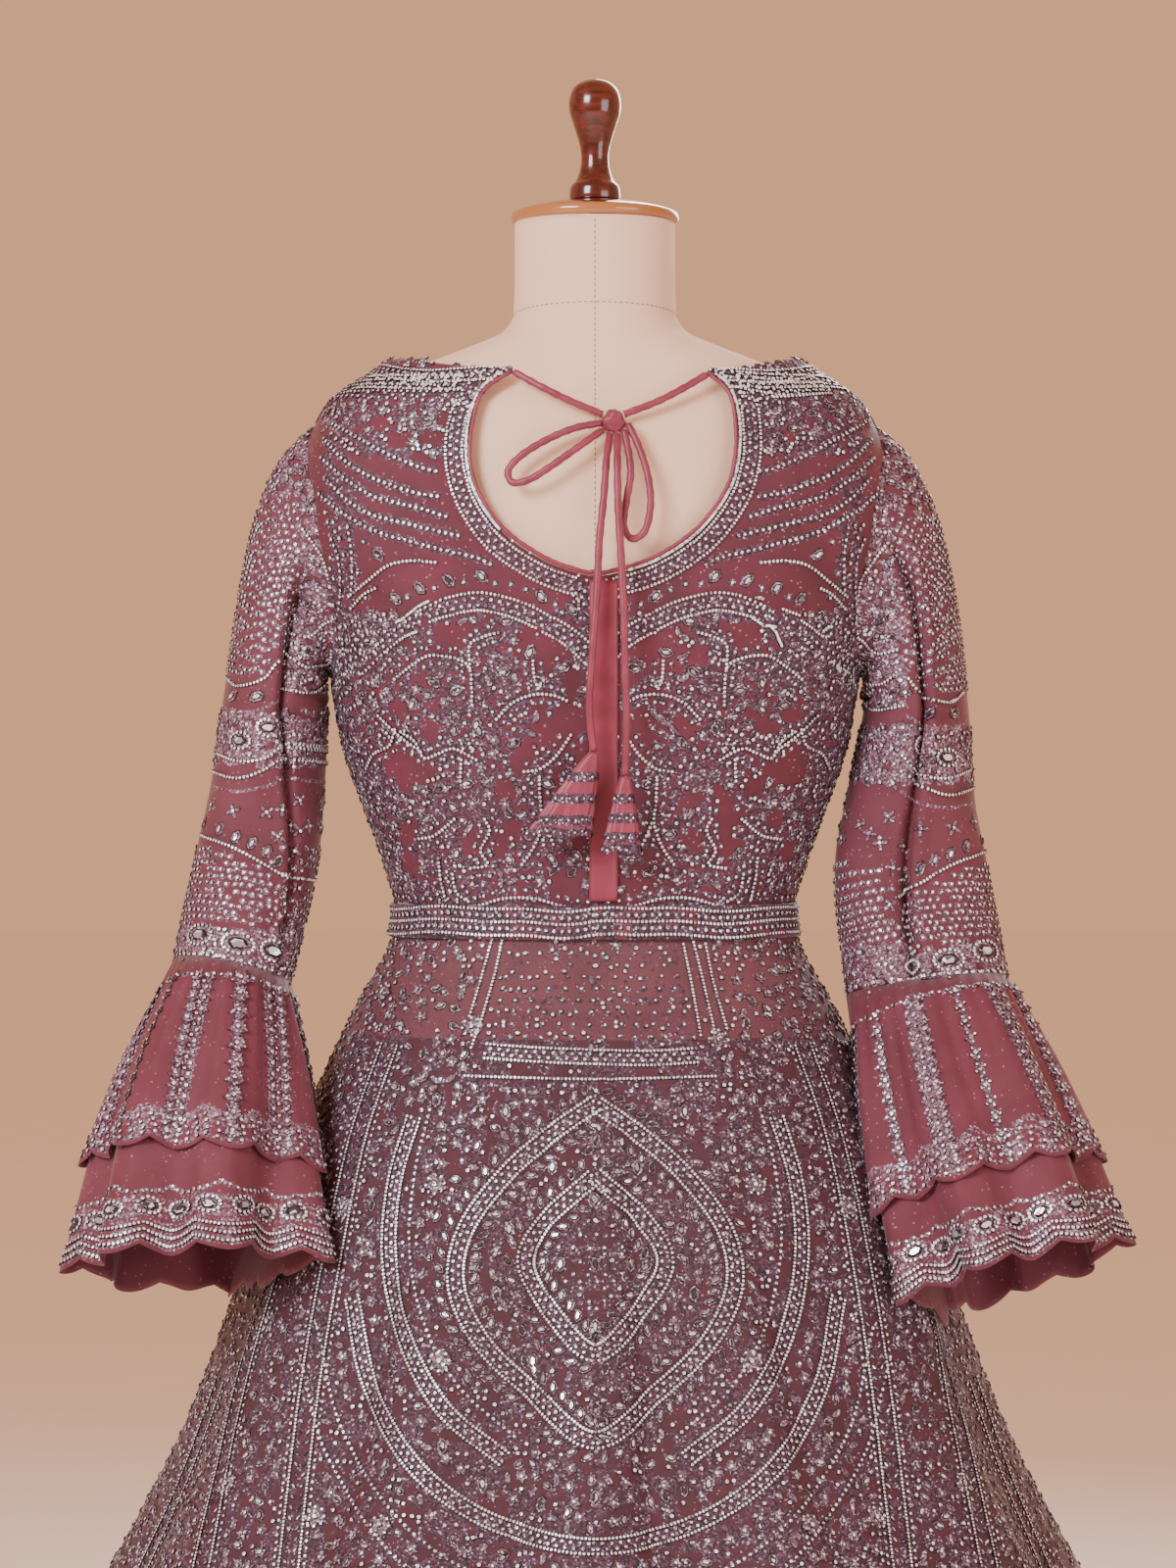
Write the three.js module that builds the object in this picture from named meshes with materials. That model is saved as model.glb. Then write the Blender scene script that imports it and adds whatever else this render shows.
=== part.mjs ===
// Peplum lehenga on a dress form: a net blouse with a keyhole back, flounced sleeves and a long
// flared peplum, over a floor-length skirt. Millimetres, +Z up. The wearer's back faces -Y and the
// front +Y. The origin is on the floor, on the axis of the stand.

import * as THREE from "three";

// ---- driving dimensions ------------------------------------------------------------------------

const CLOTH = 1.4; // thickness of one wall of embroidered net
const SEAM_GAP = 0.4; // clearance where two pieces are sewn edge to edge
const BINDING = 3.2; // width of the rolled binding round the neck

const WAIST_SEAM = 1070; // height where bodice and peplum meet
const BAND_LOW = 1058;
const BAND_HIGH = 1083;
const PEPLUM_HEM = 480;
const SKIRT_TOP = 986;
const SKIRT_HEM = 12;
const WAISTBAND_HIGH = 1008;

const SHOULDER_TIP = 1430; // height of the shoulder seam at the sleeve
const NECK_POINT = 1477; // height of the shoulder seam at the neck
const ARMHOLE = { low: 1246, high: SHOULDER_TIP, behind: 54, before: 46 };

const FLUTES = 12; // soft vertical folds round the skirt and the peplum

// Outer form of blouse and peplum at each height: half the width, how far it stands behind and
// before the axis, and how square the section is (2 is an ellipse).
const BODY = [
  { z: 1480, half: 147, back: 77, front: 68, square: 2.3 },
  { z: 1477, half: 152, back: 78, front: 69, square: 2.3 },
  { z: 1465, half: 168, back: 82, front: 74, square: 2.4 },
  { z: 1457, half: 180, back: 85, front: 77, square: 2.4 },
  { z: 1445, half: 194, back: 89, front: 81, square: 2.5 },
  { z: 1430, half: 203, back: 93, front: 86, square: 2.5 },
  { z: 1400, half: 214, back: 101, front: 95, square: 2.6 },
  { z: 1350, half: 212, back: 108, front: 110, square: 2.6 },
  { z: 1300, half: 198, back: 110, front: 124, square: 2.5 },
  { z: 1245, half: 191, back: 106, front: 132, square: 2.4 },
  { z: 1200, half: 184, back: 99, front: 127, square: 2.3 },
  { z: 1150, half: 167, back: 92, front: 116, square: 2.3 },
  { z: 1110, half: 153, back: 88, front: 109, square: 2.2 },
  { z: 1075, half: 144, back: 86, front: 105, square: 2.2 },
  { z: 1058, half: 147, back: 88, front: 106, square: 2.2 },
  { z: 1010, half: 172, back: 112, front: 122, square: 2.2 },
  { z: 982, half: 186, back: 126, front: 132, square: 2.2 },
  { z: 900, half: 221, back: 156, front: 158, square: 2.2 },
  { z: 812, half: 252, back: 188, front: 188, square: 2.2 },
  { z: 703, half: 290, back: 230, front: 230, square: 2.2 },
  { z: 640, half: 320, back: 261, front: 261, square: 2.2 },
  { z: 598, half: 342, back: 282, front: 282, square: 2.1 },
  { z: 480, half: 412, back: 352, front: 352, square: 2.1 },
  { z: 240, half: 512, back: 462, front: 462, square: 2.0 },
  { z: 0, half: 604, back: 564, front: 564, square: 2.0 },
];

// How far the bust stands out from the front at each height.
const BUST = [
  { z: 1340, rise: 0 },
  { z: 1290, rise: 12 },
  { z: 1240, rise: 20 },
  { z: 1190, rise: 12 },
  { z: 1140, rise: 0 },
];
const BUST_APART = 84; // from the centre front to the fullest point
const BUST_SPREAD = 46;

// Depth of the flutes, and how far the skirt hangs inside the peplum.
const FALL = [
  { z: 960, flute: 0, inset: 12 },
  { z: 900, flute: 1, inset: 9 },
  { z: 800, flute: 4, inset: 9 },
  { z: 600, flute: 9, inset: 10 },
  { z: 480, flute: 14, inset: 11 },
  { z: 0, flute: 22, inset: 11 },
];

// The dress form under the cloth, from the neck to the flat underside.
const FORM = [
  { z: 1577, half: 58.5, back: 58.5, front: 58.5 },
  { z: 1545, half: 58.5, back: 58.5, front: 58.5 },
  { z: 1511, half: 59.5, back: 59.5, front: 59.5 },
  { z: 1498, half: 67, back: 63, front: 59 },
  { z: 1487, half: 91, back: 67, front: 60 },
  { z: 1479, half: 112, back: 70, front: 62 },
  { z: 1471, half: 132, back: 72.5, front: 64 },
  { z: 1464, half: 149.5, back: 73.5, front: 65.5 },
  { z: 1456, half: 173.5, back: 74, front: 67 },
  { z: 1440, half: 187, back: 83, front: 75 },
  { z: 1400, half: 190, back: 94, front: 87 },
  { z: 1350, half: 184, back: 101, front: 102 },
  { z: 1290, half: 178, back: 103, front: 117 },
  { z: 1240, half: 176, back: 99, front: 124 },
  { z: 1190, half: 167, back: 92, front: 118 },
  { z: 1130, half: 149, back: 84, front: 105 },
  { z: 1075, half: 137, back: 80, front: 97 },
  { z: 1035, half: 142, back: 84, front: 99 },
  { z: 990, half: 155, back: 97, front: 104 },
  { z: 930, half: 168, back: 109, front: 110 },
  { z: 870, half: 172, back: 111, front: 110 },
  { z: 820, half: 168, back: 106, front: 104 },
];
const FORM_SQUARE = 2.2;
const FORM_ROUND = 28;

// Keyhole opening of the back, from its lowest point up to the corner where the tie is sewn, and
// the neck edge from there to the shoulder seam. Across is measured from the centre back.
const KEYHOLE_LEFT = [
  { across: 0.2, z: 1316 },
  { across: 8, z: 1316 },
  { across: 36, z: 1326 },
  { across: 66, z: 1347 },
  { across: 86, z: 1378 },
  { across: 91, z: 1410 },
  { across: 86, z: 1439 },
  { across: 76, z: 1454 },
  { across: 60, z: 1464 },
];
const KEYHOLE_RIGHT = [
  { across: 0.2, z: 1316 },
  { across: 10, z: 1316 },
  { across: 42, z: 1326 },
  { across: 73, z: 1347 },
  { across: 95, z: 1377 },
  { across: 102, z: 1406 },
  { across: 101, z: 1434 },
  { across: 94, z: 1452 },
  { across: 81, z: 1463 },
];
const NECK_FRONT_DROP = 44; // how far the front neck edge dips below the shoulder seam

// Sleeves: centre line from underarm to cuff, half the width seen from behind, and half the depth.
const SLEEVE_LEFT = [
  { x: -233, y: -3, z: 1222, across: 38, deep: 50 },
  { x: -239, y: -6, z: 1165, across: 41, deep: 50 },
  { x: -246, y: -16, z: 1108, across: 43.5, deep: 49 },
  { x: -261, y: -34, z: 1034, across: 43, deep: 48 },
];
const SLEEVE_RIGHT = [
  { x: 234, y: -3, z: 1220, across: 38, deep: 49 },
  { x: 231, y: -6, z: 1160, across: 46, deep: 46 },
  { x: 229, y: -16, z: 1106, across: 55, deep: 43 },
  { x: 239, y: -34, z: 1024, across: 58, deep: 40 },
];

// Flounces: centre line below the cuff, half sizes and how deep their waves are. The lower flounce
// of each sleeve follows the upper one just inside it, then goes on to its own hem.
const FLOUNCE_LEFT = [
  { x: -264, y: -40, z: 1014, across: 49, deep: 51, wave: 1 },
  { x: -269, y: -62, z: 962, across: 67, deep: 60, wave: 4 },
  { x: -274, y: -88, z: 898, across: 84, deep: 70, wave: 7 },
];
const FLOUNCE_RIGHT = [
  { x: 244, y: -40, z: 1004, across: 61, deep: 44, wave: 1 },
  { x: 257, y: -62, z: 952, across: 72, deep: 54, wave: 4 },
  { x: 276, y: -88, z: 884, across: 82, deep: 66, wave: 7 },
];
const LOWER_HEM_LEFT = { x: -274, y: -110, z: 832, across: 89, deep: 74, wave: 12 };
const LOWER_HEM_RIGHT = { x: 293, y: -108, z: 826, across: 78, deep: 70, wave: 12 };
const TIERS_APART = 6; // between the two flounces, from their top rows down
const FLOUNCE_WAVES = 7;
const SCALLOP = 7; // how far each scallop of a flounce hangs below its notches
const FLOUNCE_CLEAR = 4; // how far an upper flounce stays from the peplum it rests against

// Neck tie: a round satin cord. Each route is a list of points on the centre line.
const TIE = 5;
const TIE_SIDES = 8;
const TIE_ROUTES = {
  tie_strand_left: [
    { x: -57.4, y: -83.4, z: 1461.2 },
    { x: -38, y: -91, z: 1450 },
    { x: -18, y: -94, z: 1440 },
    { x: 5.3, y: -95, z: 1430.2 },
  ],
  tie_strand_right: [
    { x: 79, y: -80.3, z: 1459.7 },
    { x: 62, y: -88.5, z: 1449 },
    { x: 43, y: -92.5, z: 1439 },
    { x: 20.6, y: -95, z: 1430.2 },
  ],
  tie_loop_left: [
    { x: 4.1, y: -98, z: 1423.8 },
    { x: -14, y: -102, z: 1420 },
    { x: -33, y: -104, z: 1412 },
    { x: -51, y: -106, z: 1401 },
    { x: -61, y: -107, z: 1390 },
    { x: -58, y: -109, z: 1381 },
    { x: -46, y: -111, z: 1383 },
    { x: -30, y: -111, z: 1393 },
    { x: -12, y: -108, z: 1406 },
    { x: 5, y: -101, z: 1418.5 },
  ],
  tie_loop_right: [
    { x: 23.3, y: -98.6, z: 1423 },
    { x: 31, y: -104, z: 1406 },
    { x: 37, y: -110, z: 1386 },
    { x: 39, y: -113, z: 1366 },
    { x: 35, y: -115, z: 1347 },
    { x: 26, y: -116, z: 1341 },
    { x: 20, y: -116, z: 1350 },
    { x: 22, y: -115, z: 1368 },
    { x: 25, y: -111, z: 1390 },
    { x: 20.6, y: -101, z: 1418.2 },
  ],
  tie_tail_left: [
    { x: 10.4, y: -98.3, z: 1416.4 },
    { x: 8, y: -111, z: 1397 },
    { x: 6, y: -119, z: 1370 },
    { x: 3, y: -123, z: 1340 },
    { x: 1, y: -124, z: 1300 },
    { x: -2, y: -123, z: 1260 },
    { x: -4, y: -120, z: 1222 },
    { x: -1, y: -116, z: 1192 },
  ],
  tie_tail_right: [
    { x: 15.8, y: -98.6, z: 1416.4 },
    { x: 15.5, y: -115, z: 1397 },
    { x: 16, y: -123, z: 1366 },
    { x: 18, y: -127, z: 1330 },
    { x: 20, y: -128, z: 1290 },
    { x: 21, y: -126, z: 1250 },
    { x: 22, y: -122, z: 1212 },
    { x: 21, y: -117, z: 1175 },
  ],
};
const KNOT = { x: 13, y: -97, z: 1425, radius: 8.5 };
const TASSEL_LEFT = { x: -1, y: -116, z: 1191.6, length: 58, width: 44, lean: -26 };
const TASSEL_RIGHT = { x: 21, y: -117, z: 1174.6, length: 52, width: 26, lean: -3 };

// Turned wood: radius and height of each ring from the axis outwards and back to it.
const KNOB = [
  { r: 0, z: 1594.4 }, { r: 17.9, z: 1594.4 }, { r: 18.6, z: 1598 }, { r: 18.2, z: 1602.7 },
  { r: 17.2, z: 1605.5 }, { r: 14.3, z: 1608.4 }, { r: 12.2, z: 1612.7 }, { r: 10.4, z: 1620 },
  { r: 10, z: 1626 }, { r: 11, z: 1634 }, { r: 12.9, z: 1641 }, { r: 16.4, z: 1652 },
  { r: 18.6, z: 1659 }, { r: 19.1, z: 1665 }, { r: 18.2, z: 1671 }, { r: 15.7, z: 1676.6 },
  { r: 10, z: 1681 }, { r: 4, z: 1682.7 }, { r: 0, z: 1683 },
];
const NECK_CAP = [
  { r: 0, z: 1577.4 }, { r: 57.5, z: 1577.4 }, { r: 60, z: 1578.5 }, { r: 61.2, z: 1581.5 },
  { r: 60.2, z: 1584.6 }, { r: 56, z: 1586.6 }, { r: 40, z: 1590.4 }, { r: 19, z: 1593.6 },
  { r: 0, z: 1594 },
];
const STAND_BASE = [
  { r: 0, z: 0 }, { r: 176, z: 0 }, { r: 180, z: 3 }, { r: 180, z: 10 }, { r: 174, z: 14 },
  { r: 40, z: 20 }, { r: 22, z: 34 }, { r: 0, z: 34 },
];
const POLE_RADIUS = 14;

const COLOURS = {
  net: { color: 0x9c5566, roughness: 0.6, metalness: 0.1 },
  satin: { color: 0xb4566c, roughness: 0.4, metalness: 0 },
  lining: { color: 0x6a3a46, roughness: 0.55, metalness: 0 },
  formCloth: { color: 0xd9bda4, roughness: 0.85, metalness: 0 },
  wood: { color: 0x5c130d, roughness: 0.2, metalness: 0 },
  metal: { color: 0x4a4a4c, roughness: 0.35, metalness: 0.9 },
};

// ---- curves through the tables -----------------------------------------------------------------

// A smooth value of one column at any height, by monotone cubic pieces between the rows.
function column(rows, name, along = "z") {
  const sorted = [...rows].sort((p, q) => p[along] - q[along]);
  const at = sorted.map((row) => row[along]);
  const value = sorted.map((row) => row[name]);
  const slopes = at.slice(1).map((_, i) => (value[i + 1] - value[i]) / (at[i + 1] - at[i]));
  const tangents = value.map((_, i) => {
    if (i === 0 || i === value.length - 1) return slopes[i === 0 ? 0 : i - 1];
    const product = slopes[i - 1] * slopes[i];
    return product <= 0 ? 0 : (2 * product) / (slopes[i - 1] + slopes[i]);
  });
  return (where) => {
    const clamped = Math.min(Math.max(where, at[0]), at[at.length - 1]);
    let i = at.findIndex((limit) => clamped <= limit);
    i = Math.max(i, 1) - 1;
    const step = at[i + 1] - at[i];
    const t = (clamped - at[i]) / step;
    const enter = tangents[i] * step;
    const leave = tangents[i + 1] * step;
    const rise = value[i + 1] - value[i];
    return value[i] + t * (enter + t * (3 * rise - 2 * enter - leave + t * (enter + leave - 2 * rise)));
  };
}

const bodyHalf = column(BODY, "half");
const bodyBack = column(BODY, "back");
const bodyFront = column(BODY, "front");
const bodySquare = column(BODY, "square");
const bustRise = column(BUST, "rise");
const fluteDepth = column(FALL, "flute");
const skirtInset = column(FALL, "inset");

// Distance from the axis to a squared ellipse, in the direction turned by angle from the back.
function sectionRadius(angle, half, back, front, square) {
  const depth = Math.cos(angle) > 0 ? back : front;
  const sideways = Math.abs(Math.sin(angle)) / half;
  const lengthways = Math.abs(Math.cos(angle)) / depth;
  return (sideways ** square + lengthways ** square) ** (-1 / square);
}

// A point of the garment's outer form. Angle 0 is the centre back, a quarter turn the right side.
function bodyPoint(angle, z, inset = 0) {
  const half = bodyHalf(z) - inset;
  const radius = sectionRadius(angle, half, bodyBack(z) - inset, bodyFront(z) - inset, bodySquare(z));
  const flute = fluteDepth(z) * Math.cos(FLUTES * angle) * (1 + 0.3 * Math.cos(4 * angle));
  const reach = z < FALL[0].z ? radius + flute : radius;
  const x = reach * Math.sin(angle);
  const y = -reach * Math.cos(angle);
  const apart = (Math.abs(x) - BUST_APART) / BUST_SPREAD;
  const bust = y > 0 ? bustRise(z) * Math.exp(-apart * apart) * Math.min(1, y / 60) : 0;
  return new THREE.Vector3(x, y + bust, z);
}

function bodyNormal(angle, z, inset = 0) {
  const around = bodyPoint(angle + 0.01, z, inset).sub(bodyPoint(angle - 0.01, z, inset));
  const up = bodyPoint(angle, z + 1, inset).sub(bodyPoint(angle, z - 1, inset));
  return around.cross(up).normalize();
}

// The angle at which the back (or the front) of the form stands a given way across or deep.
function angleAcross(across, z, behind = true) {
  const square = bodySquare(z);
  const share = Math.min(1, Math.abs(across) / bodyHalf(z));
  const deep = (behind ? bodyBack(z) : bodyFront(z)) * (1 - share ** square) ** (1 / square);
  return Math.sign(across) * Math.atan2(Math.abs(across), behind ? deep : -deep);
}

function angleDeep(deep, z) {
  const square = bodySquare(z);
  const depth = deep < 0 ? bodyBack(z) : bodyFront(z);
  const across = bodyHalf(z) * (1 - (Math.abs(deep) / depth) ** square) ** (1 / square);
  return Math.atan2(across, -deep);
}

// ---- closed solids from grids of points --------------------------------------------------------

function solidFrom(positions, triangles) {
  let volume = 0;
  for (const [a, b, c] of triangles) {
    volume += positions[a].dot(new THREE.Vector3().crossVectors(positions[b], positions[c]));
  }
  const facing = volume < 0 ? triangles.map(([a, b, c]) => [a, c, b]) : triangles;
  const geometry = new THREE.BufferGeometry();
  geometry.setAttribute("position", new THREE.Float32BufferAttribute(positions.flatMap((p) => p.toArray()), 3));
  geometry.setIndex(facing.flat());
  geometry.computeVertexNormals();
  return geometry;
}

function gridNormals(rows, ring) {
  return rows.map((row, i) => row.map((_, j) => {
    const count = row.length;
    const before = ring ? row[(j + count - 1) % count] : row[Math.max(j - 1, 0)];
    const after = ring ? row[(j + 1) % count] : row[Math.min(j + 1, count - 1)];
    const below = rows[Math.max(i - 1, 0)][j];
    const above = rows[Math.min(i + 1, rows.length - 1)][j];
    const around = new THREE.Vector3().subVectors(after, before);
    return around.cross(new THREE.Vector3().subVectors(above, below)).normalize();
  }));
}

// A wall of cloth from its middle surface: every point is moved half the thickness to each side
// along its normal, each quad is cut along its shorter diagonal, and the free edges are closed.
function thickened(points, normals, quads, thickness) {
  const face = points.length;
  const positions = [0.5, -0.5].flatMap((side) => (
    points.map((point, i) => point.clone().addScaledVector(normals[i], side * thickness))
  ));
  const triangles = [];
  const edges = new Map();
  for (const quad of quads) {
    const [a, b, c, d] = quad;
    const across = points[a].distanceTo(points[c]) <= points[b].distanceTo(points[d]);
    const halves = across ? [[a, b, c], [a, c, d]] : [[b, c, d], [b, d, a]];
    for (const [p, q, r] of halves) triangles.push([p, q, r], [face + p, face + r, face + q]);
    quad.forEach((from, k) => {
      const to = quad[(k + 1) % 4];
      if (!edges.delete(`${to} ${from}`)) edges.set(`${from} ${to}`, [from, to]);
    });
  }
  for (const [from, to] of edges.values()) triangles.push([from, face + from, face + to], [from, face + to, to]);
  return solidFrom(positions, triangles);
}

// A wall of cloth from rows of points. A ring's rows close on themselves.
function clothWall(rows, { ring = false, normals = null, thickness = CLOTH } = {}) {
  return thickened(rows.flat(), (normals ?? gridNormals(rows, ring)).flat(), gridQuads(rows, ring), thickness);
}

function gridQuads(rows, ring) {
  const wide = rows[0].length;
  const quads = [];
  for (let i = 0; i < rows.length - 1; i += 1) {
    for (let j = 0; j < (ring ? wide : wide - 1); j += 1) {
      const [a, b] = [i * wide + j, i * wide + ((j + 1) % wide)];
      quads.push([a, b, b + wide, a + wide]);
    }
  }
  return quads;
}

// A solid skinned over rings of points, closed flat at both ends.
function lofted(rings) {
  const wide = rings[0].length;
  const positions = rings.flat();
  const triangles = [];
  for (let i = 0; i < rings.length - 1; i += 1) {
    for (let j = 0; j < wide; j += 1) {
      const [a, b] = [i * wide + j, i * wide + ((j + 1) % wide)];
      triangles.push([a, b, b + wide], [a, b + wide, a + wide]);
    }
  }
  for (const [ring, first] of [[rings[0], 0], [rings[rings.length - 1], positions.length - wide]]) {
    const centre = ring.reduce((sum, p) => sum.add(p), new THREE.Vector3()).divideScalar(wide);
    const hub = positions.push(centre) - 1;
    for (let j = 0; j < wide; j += 1) {
      const pair = [first + j, first + ((j + 1) % wide)];
      triangles.push(first === 0 ? [hub, pair[1], pair[0]] : [hub, pair[0], pair[1]]);
    }
  }
  return solidFrom(positions, triangles);
}

const group = new THREE.Group();

function addPiece(name, geometry, finish) {
  const mesh = new THREE.Mesh(geometry, new THREE.MeshStandardMaterial(COLOURS[finish]));
  mesh.name = name;
  group.add(mesh);
}

const mix = (a, b, t) => a + (b - a) * t;
const steps = (count) => Array.from({ length: count + 1 }, (_, i) => i / count);

// ---- bodice ------------------------------------------------------------------------------------

const SIDE_SPANS = 6; // rows of the grid along the side seam
const ARMHOLE_SPANS = 8; // rows along half of the armhole
const BAND_ROW = BAND_HIGH + 2; // the first row above the waist seam, just above the band
const PANEL_SPANS = 8; // columns from the centre to the side
const CLOSED_SPANS = 3; // rows of the closed centre back, from the band to the keyhole
const NECK_SPANS = 7; // rows that end on the front neck edge
const FRONT_CENTRE_SPANS = SIDE_SPANS + ARMHOLE_SPANS - NECK_SPANS;
const UNDERARM_LEAN = -0.8;
const ROW_BEND = 0.2; // share of a row over which it turns into its lean
const SEAM_ANGLE = SEAM_GAP / 2 / 190; // turns half a seam's gap at the side of the body

// Half of the armhole, on the back or the front, as angle and height, from underarm to shoulder.
// The lean is the direction in which the threads leave the edge: upwards from level.
function armholeSpot(share, behind) {
  const turn = Math.PI * (1 - share);
  const middle = (ARMHOLE.high + ARMHOLE.low) / 2;
  const halfHigh = (ARMHOLE.high - ARMHOLE.low) / 2;
  const halfDeep = behind ? ARMHOLE.behind : ARMHOLE.before;
  const z = middle + halfHigh * Math.cos(turn);
  const angle = angleDeep((behind ? -halfDeep : halfDeep) * Math.sin(turn), z);
  return { angle, z, lean: Math.atan2(Math.cos(turn) / halfHigh, Math.sin(turn) / halfDeep) };
}

function outerEdge(behind) {
  const seam = Math.PI / 2 + (behind ? -SEAM_ANGLE : SEAM_ANGLE);
  const above = steps(SIDE_SPANS - 1).map((t) => ({
    angle: seam,
    z: mix(BAND_ROW, ARMHOLE.low, t),
    lean: UNDERARM_LEAN * t ** 6,
  }));
  const side = [{ angle: seam, z: WAIST_SEAM, lean: 0 }, ...above];
  const armhole = steps(ARMHOLE_SPANS).slice(1).map((t) => armholeSpot(t, behind));
  const keepSeam = (angle) => (behind ? Math.min(angle, seam) : Math.max(angle, seam));
  return [...side, ...armhole].map((spot) => ({ ...spot, angle: keepSeam(spot.angle) }));
}

// The inner end of a back half: centre back, keyhole, then the neck edge up to the shoulder.
function backInnerEdge(keyhole) {
  const lowest = keyhole[0].z;
  const corner = keyhole[keyhole.length - 1];
  const closed = steps(CLOSED_SPANS).slice(0, -1).map((t) => mix(BAND_ROW, lowest, t));
  const centre = [WAIST_SEAM, ...closed].map((z) => ({ across: keyhole[0].across, z }));
  const neck = steps(2).slice(1).map((t) => ({
    across: mix(corner.across, bodyHalf(NECK_POINT), t),
    z: mix(corner.z, NECK_POINT, t ** 1.6),
  }));
  const spots = [...centre, ...keyhole, ...neck];
  return spots.map(({ across, z }) => ({
    angle: Math.min(angleAcross(across, z), Math.PI / 2 - SEAM_ANGLE),
    z,
  }));
}

// The inner end of a front half: centre front, then the neck edge up to the shoulder.
function frontInnerEdge() {
  const lowest = NECK_POINT - NECK_FRONT_DROP;
  const centre = [WAIST_SEAM, ...steps(FRONT_CENTRE_SPANS - 1).map((t) => mix(BAND_ROW, lowest, t))];
  const neck = steps(NECK_SPANS).slice(1).map((share) => {
    const z = NECK_POINT - NECK_FRONT_DROP * (1 - share ** 2.4);
    const angle = angleAcross(bodyHalf(NECK_POINT) * share, z, false);
    return { angle: Math.max(angle, Math.PI / 2 + SEAM_ANGLE), z };
  });
  return [...centre.map((z) => ({ angle: Math.PI, z })), ...neck];
}

// Rows of angle and height from the inner edge to the outer, each bent so that it leaves the
// outer edge with its lean and so passes round the armhole.
function panelSpots(inner, outer, side) {
  return inner.map((from, i) => {
    const to = outer[i];
    const wide = bodyHalf(to.z);
    const reach = ROW_BEND * Math.hypot((to.angle - from.angle) * wide, to.z - from.z);
    const control = {
      angle: to.angle + (Math.sign(from.angle - to.angle) * reach * Math.cos(to.lean)) / wide,
      z: to.z + reach * Math.sin(to.lean),
    };
    return steps(PANEL_SPANS).map((t) => ({
      angle: side * ((1 - t) ** 2 * from.angle + 2 * t * (1 - t) * control.angle + t ** 2 * to.angle),
      z: (1 - t) ** 2 * from.z + 2 * t * (1 - t) * control.z + t ** 2 * to.z,
    }));
  });
}

const backOuter = outerEdge(true);
const backEdges = {
  left: { inner: backInnerEdge(KEYHOLE_LEFT), side: -1 },
  right: { inner: backInnerEdge(KEYHOLE_RIGHT), side: 1 },
};
for (const [name, { inner, side }] of Object.entries(backEdges)) {
  const spots = panelSpots(inner, backOuter, side);
  const points = spots.map((row) => row.map(({ angle, z }) => bodyPoint(angle, z)));
  const normals = spots.map((row) => row.map(({ angle, z }) => bodyNormal(angle, z)));
  addPiece(`bodice_back_${name}`, clothWall(points, { normals }), "net");
}

// The front is one piece: two halves that share their points down the centre front.
const frontInner = frontInnerEdge();

function bodiceFront() {
  const outer = outerEdge(false);
  const halves = [1, -1].map((side) => panelSpots(frontInner, outer, side));
  const wide = PANEL_SPANS + 1;
  const size = frontInner.length * wide;
  const spots = halves.flat(2);
  const shared = (i) => i >= size && i % wide === 0 && (i - size) / wide <= FRONT_CENTRE_SPANS;
  const right = gridQuads(halves[0], false);
  const left = right.map((quad) => quad.map((i) => (shared(i + size) ? i : i + size)).reverse());
  const points = spots.map(({ angle, z }) => bodyPoint(angle, z));
  const normals = spots.map(({ angle, z }) => bodyNormal(angle, z));
  return thickened(points, normals, [...right, ...left], CLOTH);
}
addPiece("bodice_front", bodiceFront(), "net");

// Placket: a strip over the centre back closing, just clear of the bodice.
const PLACKET = { left: -4, right: 16, low: BAND_ROW + 1, high: 1312, clear: 1.5, thickness: 1.2 };

function placket() {
  const lift = CLOTH / 2 + PLACKET.clear + PLACKET.thickness / 2;
  const rows = steps(CLOSED_SPANS).map((v) => {
    const z = mix(PLACKET.low, PLACKET.high, v);
    return steps(2).map((u) => angleAcross(mix(PLACKET.left, PLACKET.right, u) || 0.001, z)).map((angle) => (
      bodyPoint(angle, z).addScaledVector(bodyNormal(angle, z), lift)
    ));
  });
  return clothWall(rows, { thickness: PLACKET.thickness });
}
addPiece("back_placket", placket(), "satin");

// Binding: a square roll along the keyhole or the front neck edge, just inside the opening.
// Its ends at a shoulder seam are cut across the body, so that front and back rolls meet there.
function binding(edge, side, inwards, near, cut = {}) {
  const points = edge.map(({ angle, z }) => bodyPoint(side * angle, z));
  const sections = points.map((point, i) => {
    const { angle, z } = edge[i];
    const normal = bodyNormal(side * angle, z);
    const ahead = new THREE.Vector3().subVectors(points[Math.min(i + 1, points.length - 1)], point);
    const behind = new THREE.Vector3().subVectors(point, points[Math.max(i - 1, 0)]);
    const along = ahead.normalize().add(behind.normalize()).multiplyScalar(0.5);
    const mitre = 1 / Math.max(0.5, i === 0 || i === points.length - 1 ? 1 : along.length());
    if (cut[i] !== undefined) along.set(0, cut[i], 0);
    const away = along.cross(normal).normalize().multiplyScalar(inwards * mitre);
    const far = near + BINDING;
    const thick = BINDING / 2;
    return [[near, -thick], [far, -thick], [far, thick], [near, thick]].map(([out, lift]) => (
      point.clone().addScaledVector(away, out).addScaledVector(normal, lift)
    ));
  });
  return lofted(sections);
}
const keyholeStart = 1 + CLOSED_SPANS;
const KEYHOLE_GAP = 0.8; // between the edge of the cloth and the roll along it
const FRONT_GAP = 0.8;
for (const [name, { inner, side }] of Object.entries(backEdges)) {
  const edge = inner.slice(keyholeStart, keyholeStart + KEYHOLE_LEFT.length);
  addPiece(`neck_binding_${name}`, binding(edge, side, -side, KEYHOLE_GAP), "satin");
}
const neckHalf = frontInner.slice(FRONT_CENTRE_SPANS);
const neckMirrored = neckHalf.slice(1).map(({ angle, z }) => ({ angle: 2 * Math.PI - angle, z }));
const frontEdge = [...neckHalf.reverse(), ...neckMirrored];
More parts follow.
